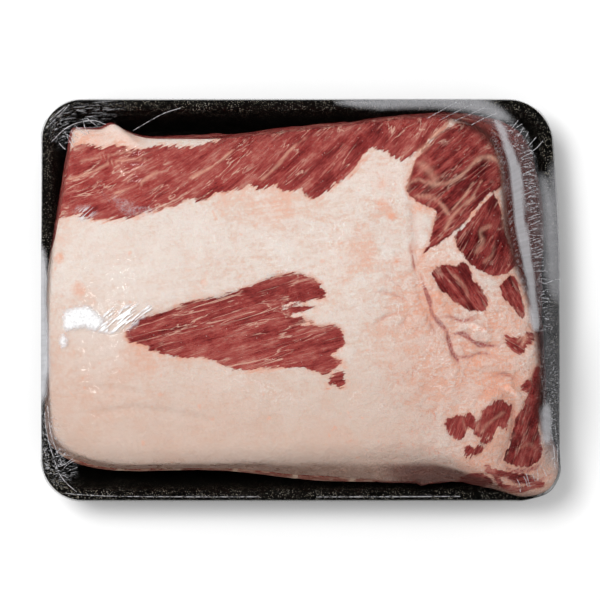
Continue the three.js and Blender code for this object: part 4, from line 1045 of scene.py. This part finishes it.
def film_surface(sizes):
    """The film's outer surface as rings from the cut edge under the base, round the tray and up over the roast."""
    outline = tray_ring(sizes, 0, 24, 200, 156, taut=True)
    arc = np.concatenate([[0], np.cumsum(np.hypot(*np.diff(np.vstack([outline, outline[:1]]), axis=0).T))])
    at = np.linspace(0, arc[-1], FILM_BEARINGS, endpoint=False)
    closed = np.vstack([outline, outline[:1]])
    bearing = np.arctan2(np.interp(at, arc, closed[:, 1]), np.interp(at, arc, closed[:, 0]))
    lower = []
    for inset, z in FILM_ROUND_TRAY:
        radius = tray_radius(sizes, inset, taut=True)(bearing)
        lower.append(np.stack([radius * np.cos(bearing), radius * np.sin(bearing), np.full(len(bearing), z)], 1))
    edge_r, reach = edge_radius(bearing), flank_reach(bearing)
    limit = overhang_limit(sizes)(bearing)
    rim_r = np.hypot(lower[-1][:, 0], lower[-1][:, 1])
    radii, heights = [np.zeros(len(bearing))], [np.full(len(bearing), top_height(0.0, 0.0))]
    for share in FILM_SHARES:
        r = share * edge_r
        x, y = r * np.cos(bearing), r * np.sin(bearing)
        roll = max(0.0, (share - EDGE_ROUND_START) / (1 - EDGE_ROUND_START))
        radii.append(r)
        heights.append(top_height(x, y) - EDGE_ROUND * roll ** EDGE_ROUND_POWER)
    edge_z = heights[-1]
    for step in range(1, FILM_FLANK_STEPS + 1):
        t = step / FILM_FLANK_STEPS
        radii.append(np.minimum(edge_r + reach * math.sin(t * math.pi / 2), limit))
        heights.append(lerp(edge_z, RIM_CLEAR_HEIGHT, t))
    radii.append(rim_r)
    heights.append(np.full(len(bearing), 30.0))
    radii, heights = np.array(radii), np.array(heights)
    for i in range(len(bearing)):
        radii[:, i], heights[:, i] = pulled_taut(radii[:, i], heights[:, i])
    slope_r, slope_z = radii[2:] - radii[:-2], heights[2:] - heights[:-2]
    length = np.hypot(slope_r, slope_z)
    gap = sizes.film_gap / MM
    r = radii[1:-1] - slope_z / length * gap
    z = heights[1:-1] + slope_r / length * gap
    upper = [np.stack([r[n] * np.cos(bearing), r[n] * np.sin(bearing), z[n]], 1) for n in range(len(r) - 1, -1, -1)]
    return lower, upper, bearing


def build_film(sizes, colours):
    lower, upper, bearing = film_surface(sizes)
    outer = [*lower, *upper]
    size = len(bearing)
    rings = np.array(outer)
    # Normals of the surface, from its rings, to set the inner side in by the film's thickness.
    along = np.roll(rings, -1, 1) - np.roll(rings, 1, 1)
    up = np.empty_like(rings)
    up[1:-1] = rings[2:] - rings[:-2]
    up[0], up[-1] = rings[1] - rings[0], rings[-1] - rings[-2]
    normal = np.cross(along, up)
    normal /= np.linalg.norm(normal, axis=2)[:, :, None]
    pleat = pleat_field(rings, bearing)
    rings = rings + normal * pleat[:, :, None]
    thickness = sizes.film_thickness / MM
    inner = rings - normal * thickness
    inner[0, :, :] = rings[0] + [0, 0, thickness]
    peak = top_height(0.0, 0.0) + sizes.film_gap / MM
    points = np.vstack([[[0, 0, peak - thickness]], inner[::-1].reshape(-1, 3), rings.reshape(-1, 3), [[0, 0, peak]]])
    count = len(rings)
    faces = loft_faces(2 * count, size, 1)
    faces += fan_faces(0, list(range(1, size + 1)), up=False)
    last = len(points) - 1
    faces += fan_faces(last, list(range(last - size, last)), up=True)
    return new_piece("film", points, faces, film_look(colours), film_marks(points))


def pleat_field(rings, bearing):
    """Small standing folds where the film is gathered at the tray's corners."""
    x, y, z = rings[:, :, 0], rings[:, :, 1], rings[:, :, 2]
    corner = smooth(95, 122, np.abs(x)) * smooth(62, 92, np.abs(y)) * smooth(62, 34, z) * smooth(4, 16, z)
    arc = np.unwrap(bearing) * 150
    return 0.35 * corner * ripple(np.broadcast_to(arc, x.shape), z, 5, 41)


def film_marks(points):
    """Where the film is wrinkled, milky, hatched with fine ridges, covered in fine hairs, or shines white: the milk is
    partly painted reflection, and the hatching, hairs and white shine are painted highlights.
    """
    x, y, z = points.T
    corner = smooth(88, 120, np.abs(x)) * smooth(58, 92, np.abs(y)) * smooth(74, 40, z)
    side = smooth(70, 40, z) * 0.35
    marks = {"crinkle": np.clip(corner + side, 0, 1), **{kind: np.zeros(len(x)) for kind in VEIL_KINDS}}
    above = smooth(22, 29, z)
    for veil in FILM_VEILS:
        depth = depth_inside(x, y, veil["outline"]) + 0.5 * ripple(x, y, 5, 51)
        cover = smooth(-veil["soft"], veil["soft"], depth) * above
        for kind in VEIL_KINDS:
            marks[kind] = np.maximum(marks[kind], veil.get(kind, 0) * cover)
    return marks


def film_height(sizes):
    """The film's height over a point of the pack, as a function of x and y."""
    _, upper, bearing = film_surface(sizes)
    rings = np.array(upper[::-1])
    radius, height = np.hypot(rings[:, :, 0], rings[:, :, 1]), rings[:, :, 2]

    def at(x, y):
        column = np.argmin(np.abs(np.angle(np.exp(1j * (bearing - math.atan2(y, x))))))
        return float(np.interp(math.hypot(x, y), radius[:, column], height[:, column]))
    return at


def fold_paths():
    """Every crease of the film as a line seen from above."""
    rng = np.random.default_rng(61)
    paths = [curve_through(line, 6, closed=False) for line in FILM_FOLDS]
    for row in FOLD_ROWS:
        start, end = np.array(row["start"], float), np.array(row["end"], float)
        run = (end - start) / np.linalg.norm(end - start)
        for n in range(row["count"]):
            middle = lerp(start, end, (n + rng.uniform(0, 1)) / row["count"])
            turn = math.radians(row["turn"] + rng.uniform(-14, 14))
            way = np.array([run[0] * math.cos(turn) - run[1] * math.sin(turn), run[0] * math.sin(turn) + run[1] * math.cos(turn)])
            side = np.array([-way[1], way[0]])
            half = row["length"] / 2 * rng.uniform(0.4, 1.0)
            bend = rng.uniform(-0.6, 0.6)
            paths.append(curve_through([middle - way * half, middle + side * bend, middle + way * half], 6, closed=False))
    return paths


def fold_tree(material):
    """Geometry Nodes that run a thin round bead along each crease."""
    tree = bpy.data.node_groups.new("film_folds", "GeometryNodeTree")
    sockets = tree.interface
    sockets.new_socket("Geometry", in_out="INPUT", socket_type="NodeSocketGeometry")
    sockets.new_socket("Fold radius", in_out="INPUT", socket_type="NodeSocketFloat")
    sockets.new_socket("Geometry", in_out="OUTPUT", socket_type="NodeSocketGeometry")
    nodes, links = tree.nodes, tree.links
    start, end = nodes.new("NodeGroupInput"), nodes.new("NodeGroupOutput")
    profile = nodes.new("GeometryNodeCurvePrimitiveCircle")
    profile.inputs["Resolution"].default_value = 5
    sweep = nodes.new("GeometryNodeCurveToMesh")
    sweep.inputs["Fill Caps"].default_value = True
    real = nodes.new("GeometryNodeRealizeInstances")
    paint = nodes.new("GeometryNodeSetMaterial")
    paint.inputs["Material"].default_value = material
    for a, b in ((start.outputs["Geometry"], sweep.inputs["Curve"]), (start.outputs["Fold radius"], profile.inputs["Radius"]),
                 (profile.outputs["Curve"], sweep.inputs["Profile Curve"]), (sweep.outputs[0], real.inputs[0]),
                 (real.outputs[0], paint.inputs["Geometry"]), (paint.outputs[0], end.inputs[0])):
        links.new(a, b)
    return tree


def build_folds(sizes, colours):
    height = film_height(sizes)
    paths = bpy.data.curves.new("fold_paths", "CURVE")
    paths.dimensions = "3D"
    for path in fold_paths():
        spline = paths.splines.new("POLY")
        spline.points.add(len(path) - 1)
        for point, (x, y) in zip(spline.points, path):
            point.co = (x * MM, y * MM, (height(x, y) + FOLD_LIFT) * MM, 1)
    carrier = bpy.data.objects.new("fold_paths", paths)
    bpy.context.scene.collection.objects.link(carrier)
    return nodes_to_piece(carrier, fold_tree(fold_look(colours)), {"Fold radius": sizes.fold_radius}, "film_folds")


def nodes_to_piece(carrier, tree, values, name):
    """Runs a Geometry Nodes tree on a carrier with named values, and keeps its result as a plain mesh."""
    modifier = carrier.modifiers.new("Nodes", "NODES")
    modifier.node_group = tree
    named = {item.name: item.identifier for item in tree.interface.items_tree if item.in_out == "INPUT"}
    for label, value in values.items():
        modifier[named[label]] = value
    mesh = bpy.data.meshes.new_from_object(carrier.evaluated_get(bpy.context.evaluated_depsgraph_get()))
    mesh.name = name
    bpy.data.objects.remove(carrier)
    mesh.shade_smooth()
    piece = bpy.data.objects.new(name, mesh)
    bpy.context.scene.collection.objects.link(piece)
    return piece


# ---- Specks on the bare lean ----------------------------------------------------------------------


def speck_tree(material):
    """Geometry Nodes that scatter small beads over the part of a surface where its attribute bare is set."""
    tree = bpy.data.node_groups.new("wet_specks", "GeometryNodeTree")
    sockets = tree.interface
    sockets.new_socket("Geometry", in_out="INPUT", socket_type="NodeSocketGeometry")
    for name, kind, value in (("Beads per square metre", "NodeSocketFloat", 1.0), ("Bead radius", "NodeSocketFloat", 1.0),
                              ("Seed", "NodeSocketInt", 1)):
        sockets.new_socket(name, in_out="INPUT", socket_type=kind).default_value = value
    sockets.new_socket("Geometry", in_out="OUTPUT", socket_type="NodeSocketGeometry")
    nodes, links = tree.nodes, tree.links
    start, end = nodes.new("NodeGroupInput"), nodes.new("NodeGroupOutput")
    bare = nodes.new("GeometryNodeInputNamedAttribute")
    bare.data_type = "FLOAT"
    bare.inputs["Name"].default_value = "bare"
    scatter = nodes.new("GeometryNodeDistributePointsOnFaces")
    scatter.distribute_method = "RANDOM"
    density = nodes.new("ShaderNodeMath")
    density.operation = "MULTIPLY"
    bead = nodes.new("GeometryNodeMeshIcoSphere")
    bead.inputs["Subdivisions"].default_value = 1
    grow = nodes.new("FunctionNodeRandomValue")
    grow.data_type = "FLOAT"
    grow.inputs[2].default_value, grow.inputs[3].default_value = 0.5, 1.4
    put = nodes.new("GeometryNodeInstanceOnPoints")
    real = nodes.new("GeometryNodeRealizeInstances")
    paint = nodes.new("GeometryNodeSetMaterial")
    paint.inputs["Material"].default_value = material
    for a, b in ((start.outputs["Geometry"], scatter.inputs["Mesh"]), (start.outputs[1], density.inputs[0]),
                 (bare.outputs["Attribute"], density.inputs[1]), (density.outputs[0], scatter.inputs["Density"]),
                 (start.outputs["Seed"], scatter.inputs["Seed"]), (start.outputs["Bead radius"], bead.inputs["Radius"]),
                 (start.outputs["Seed"], grow.inputs["Seed"]), (scatter.outputs["Points"], put.inputs["Points"]),
                 (bead.outputs["Mesh"], put.inputs["Instance"]), (grow.outputs[1], put.inputs["Scale"]),
                 (put.outputs["Instances"], real.inputs["Geometry"]), (real.outputs[0], paint.inputs["Geometry"]),
                 (paint.outputs[0], end.inputs[0])):
        links.new(a, b)
    return tree


def build_specks(sizes, colours):
    roast = bpy.data.objects["roast"]
    material = speck_look(colours)
    ground = roast.data.copy()
    co = np.empty(len(ground.vertices) * 3, np.float32)
    ground.vertices.foreach_get("co", co)
    co = co.reshape(-1, 3) / MM
    lean = np.empty(len(ground.vertices), np.float32)
    roast.data.attributes["lean"].data.foreach_get("value", lean)
    bare = (lean > 1.5) & (co[:, 2] > 60)
    ground.attributes.new("bare", "FLOAT", "POINT").data.foreach_set("value", bare.astype(np.float32))
    carrier = bpy.data.objects.new("speck_ground", ground)
    bpy.context.scene.collection.objects.link(carrier)
    values = {"Beads per square metre": sizes.speck_density, "Bead radius": sizes.speck_radius, "Seed": 7}
    return nodes_to_piece(carrier, speck_tree(material), values, "fat_specks")


# ---- Stage ---------------------------------------------------------------------------------------

CAMERA_HEIGHT = 1.43
CAMERA_LENS = 167.0
KEY_BEARING, KEY_RISE, KEY_DISTANCE = 141, 66, 2.2

# Lamps that only show as highlights: name, bearing and rise in degrees, size, watts.
GLINTS = [("left_glint", 184, 68, 0.05, 0.1), ("far_glint", 120, 55, 0.05, 0.1)]


def area_light(name, bearing, rise, distance, size, power, glossy=True, target=(0, 0, 0.04)):
    """A soft rectangular lamp at a bearing and height angle in degrees, aimed at the pack."""
    lamp = bpy.data.lights.new(name, "AREA")
    lamp.shape = "RECTANGLE"
    lamp.size, lamp.size_y = size
    lamp.energy = power
    held = bpy.data.objects.new(name, lamp)
    b, e = math.radians(bearing), math.radians(rise)
    aim = np.array([math.cos(b) * math.cos(e), math.sin(b) * math.cos(e), math.sin(e)])
    held.location = np.array(target) + aim * distance
    held.rotation_euler = Vector(aim).to_track_quat("Z", "Y").to_euler()
    held.visible_glossy = glossy
    held.visible_camera = False
    bpy.context.scene.collection.objects.link(held)
    return held


def build_stage(sizes):
    scene = bpy.context.scene
    scene.view_settings.view_transform = "Standard"
    scene.view_settings.look = "None"
    reach = sizes.floor_size / 2
    mesh = bpy.data.meshes.new("floor")
    mesh.from_pydata([(-reach, -reach, 0), (reach, -reach, 0), (reach, reach, 0), (-reach, reach, 0)], [], [(0, 1, 2, 3)])
    mesh.materials.append(floor_look())
    floor = bpy.data.objects.new("floor", mesh)
    scene.collection.objects.link(floor)
    floor.visible_glossy = False
    world = bpy.data.worlds.new("studio")
    world.use_nodes = True
    tree = world.node_tree
    tree.nodes.clear()
    out = tree.nodes.new("ShaderNodeOutputWorld")
    path = tree.nodes.new("ShaderNodeLightPath")
    seen, light = tree.nodes.new("ShaderNodeBackground"), tree.nodes.new("ShaderNodeBackground")
    seen.inputs["Color"].default_value, seen.inputs["Strength"].default_value = (1, 1, 1, 1), 1.0
    light.inputs["Color"].default_value, light.inputs["Strength"].default_value = (1, 1, 1, 1), sizes.ambient
    either = tree.nodes.new("ShaderNodeMixShader")
    tree.links.new(path.outputs["Is Camera Ray"], either.inputs[0])
    tree.links.new(light.outputs[0], either.inputs[1])
    tree.links.new(seen.outputs[0], either.inputs[2])
    tree.links.new(either.outputs[0], out.inputs[0])
    scene.world = world
    world.cycles_visibility.glossy = False
    area_light("key_light", KEY_BEARING, KEY_RISE, KEY_DISTANCE, (0.8, 0.8), sizes.key_power, glossy=False)
    for name, bearing, rise, size, power in GLINTS:
        glint = area_light(name, bearing, rise, KEY_DISTANCE, (size, size), power)
        glint.visible_diffuse = False
    camera = bpy.data.cameras.new("camera")
    camera.lens, camera.sensor_width = CAMERA_LENS, 36
    camera.clip_start, camera.clip_end = 0.05, 20
    eye = bpy.data.objects.new("camera", camera)
    eye.location = (-0.00025, 0, CAMERA_HEIGHT)
    scene.collection.objects.link(eye)
    scene.camera = eye


# ---- Add-on --------------------------------------------------------------------------------------

class PackSizes(bpy.types.PropertyGroup):
    """Sizes of the pack."""
    tray_length: FloatProperty(name="Tray length", description="Length of the tray at its rim, without its bowed ends",
                               default=0.257, min=0.2, max=0.3, subtype="DISTANCE", unit="LENGTH")
    tray_width: FloatProperty(name="Tray width", description="Width of the tray at its rim",
                              default=0.2014, min=0.15, max=0.25, subtype="DISTANCE", unit="LENGTH")
    film_gap: FloatProperty(name="Film stand-off", description="How far the film stands off the meat",
                            default=0.0008, min=0.0002, max=0.002, subtype="DISTANCE", unit="LENGTH")
    film_thickness: FloatProperty(name="Film thickness", description="Thickness of the stretch film",
                                  default=0.0002, min=0.00005, max=0.001, subtype="DISTANCE", unit="LENGTH")
    speck_radius: FloatProperty(name="Speck radius", description="Mean radius of the wet specks on the bare lean",
                                default=0.00016, min=0.00005, max=0.001, subtype="DISTANCE", unit="LENGTH")
    speck_density: FloatProperty(name="Speck density", description="Wet specks on each square metre of bare lean",
                                 default=26000, min=0, max=100000)
    floor_size: FloatProperty(name="Floor size", description="Side of the square floor", default=8.0, min=1, max=20,
                              subtype="DISTANCE", unit="LENGTH")
    fold_radius: FloatProperty(name="Fold radius", description="Half the thickness of the film's creases",
                               default=0.00018, min=0.00005, max=0.001, subtype="DISTANCE", unit="LENGTH")
    ambient: FloatProperty(name="Ambient light", description="Brightness of the even light round the pack",
                           default=0.64, min=0, max=2)
    key_power: FloatProperty(name="Key power", description="Power of the soft lamp that casts the shadow",
                             default=33, min=0, max=500, subtype="POWER", unit="POWER")


def colour(name, description, *rgb):
    return FloatVectorProperty(name=name, description=description, subtype="COLOR", size=4, default=shade(*rgb), min=0, max=1)


class PackColours(bpy.types.PropertyGroup):
    """Colours of the pack."""
    fat: colour("Fat", "Palest colour of the fat cap", 236, 226, 218)
    fat_pink: colour("Pink fat", "Pink clouds in the fat cap", 227, 204, 190)
    # Painted shade: colour of the fat towards the backbone side and on the flanks.
    fat_painted_shade: colour("Dim fat", "Fat cap towards the backbone side", 207, 181, 165)
    # Painted shade: the colour of the shaded flanks, on the backbone side and at the blade end.
    fat_flank_shade: colour("Brown fat", "Fat on the backbone side's flank", 140, 110, 94)
    salmon: colour("Salmon", "Orange-pink stains and creases", 240, 164, 130)
    lean: colour("Lean", "Bare lean in full light", 173, 68, 64)
    lean_shadow: colour("Dark lean", "Darkest lean", 82, 10, 17)
    vein: colour("Vein", "Fat between the muscle fibres", 226, 180, 160)
    marrow: colour("Marrow", "Spongy inside of the sawn bone", 148, 76, 62)
    gristle: colour("Gristle", "Pale rim and discs of the backbone", 206, 176, 154)
    foam: colour("Foam", "Foam tray", 27, 26, 24)
    # Bright foam cells, partly painted glints of the rim.
    foam_speck_and_glint: colour("Foam speck", "Bright cells of the tray's rim", 158, 150, 126)
    # Milky film, also used for the painted reflections on the film.
    film_milk_and_reflection: colour("Milky film", "Film where it is creased or stands off", 224, 224, 228)


class PORK_OT_tray(bpy.types.Operator):
    """Build the black foam tray"""
    bl_idname = "pork.tray"
    bl_label = "Foam tray"

    def execute(self, context):
        tray = build_tray(context.scene.pack_sizes, context.scene.pack_colours)
        ride_root(tray, "foam_tray")
        return {"FINISHED"}


class PORK_OT_roast(bpy.types.Operator):
    """Build the roast with its fat cap, bare lean, furrows and flanks"""
    bl_idname = "pork.roast"
    bl_label = "Roast"

    def execute(self, context):
        roast = build_roast(context.scene.pack_sizes, context.scene.pack_colours)
        ride_root(roast, "pork_loin")
        return {"FINISHED"}


class PORK_OT_backbone(bpy.types.Operator):
    """Give the sawn backbone its bone, marrow and cartilage"""
    bl_idname = "pork.backbone"
    bl_label = "Backbone"

    def execute(self, context):
        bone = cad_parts["chine_bone"]
        bone.data.materials.clear()
        bone.data.materials.append(bone_look(context.scene.pack_colours))
        return {"FINISHED"}


class PORK_OT_film(bpy.types.Operator):
    """Stretch the clear film over the roast and round the tray"""
    bl_idname = "pork.film"
    bl_label = "Stretch film"

    def execute(self, context):
        film = build_film(context.scene.pack_sizes, context.scene.pack_colours)
        ride_root(film, "film_wrap")
        return {"FINISHED"}


class PORK_OT_folds(bpy.types.Operator):
    """Run the film's creases over it"""
    bl_idname = "pork.folds"
    bl_label = "Film folds"

    def execute(self, context):
        folds = build_folds(context.scene.pack_sizes, context.scene.pack_colours)
        ride_root(folds)
        return {"FINISHED"}


class PORK_OT_specks(bpy.types.Operator):
    """Scatter wet specks over the bare lean"""
    bl_idname = "pork.specks"
    bl_label = "Wet specks"

    def execute(self, context):
        specks = build_specks(context.scene.pack_sizes, context.scene.pack_colours)
        ride_root(specks)
        return {"FINISHED"}


class PORK_OT_stage(bpy.types.Operator):
    """Lay the white floor, and set the lights and the camera"""
    bl_idname = "pork.stage"
    bl_label = "Stage"

    def execute(self, context):
        build_stage(context.scene.pack_sizes)
        return {"FINISHED"}


class PORK_PT_pack(bpy.types.Panel):
    """The pack's pieces in the order they are built"""
    bl_label = "Roast pack"
    bl_idname = "PORK_PT_pack"
    bl_space_type = "VIEW_3D"
    bl_region_type = "UI"
    bl_category = "Roast pack"

    def draw(self, context):
        for group in (context.scene.pack_sizes, context.scene.pack_colours):
            for name in group.__annotations__:
                self.layout.prop(group, name)
        for operator in OPERATORS:
            self.layout.operator(operator.bl_idname)


OPERATORS = (PORK_OT_tray, PORK_OT_roast, PORK_OT_backbone, PORK_OT_film, PORK_OT_folds, PORK_OT_specks, PORK_OT_stage)
CLASSES = (PackSizes, PackColours, *OPERATORS, PORK_PT_pack)


def register():
    for cls in CLASSES:
        bpy.utils.register_class(cls)
    bpy.types.Scene.pack_sizes = PointerProperty(type=PackSizes)
    bpy.types.Scene.pack_colours = PointerProperty(type=PackColours)


def unregister():
    del bpy.types.Scene.pack_colours
    del bpy.types.Scene.pack_sizes
    for cls in reversed(CLASSES):
        bpy.utils.unregister_class(cls)


def main():
    register()
    bpy.ops.pork.tray()
    bpy.ops.pork.roast()
    bpy.ops.pork.backbone()
    bpy.ops.pork.film()
    bpy.ops.pork.folds()
    bpy.ops.pork.specks()
    bpy.ops.pork.stage()


if __name__ == "__main__":
    main()
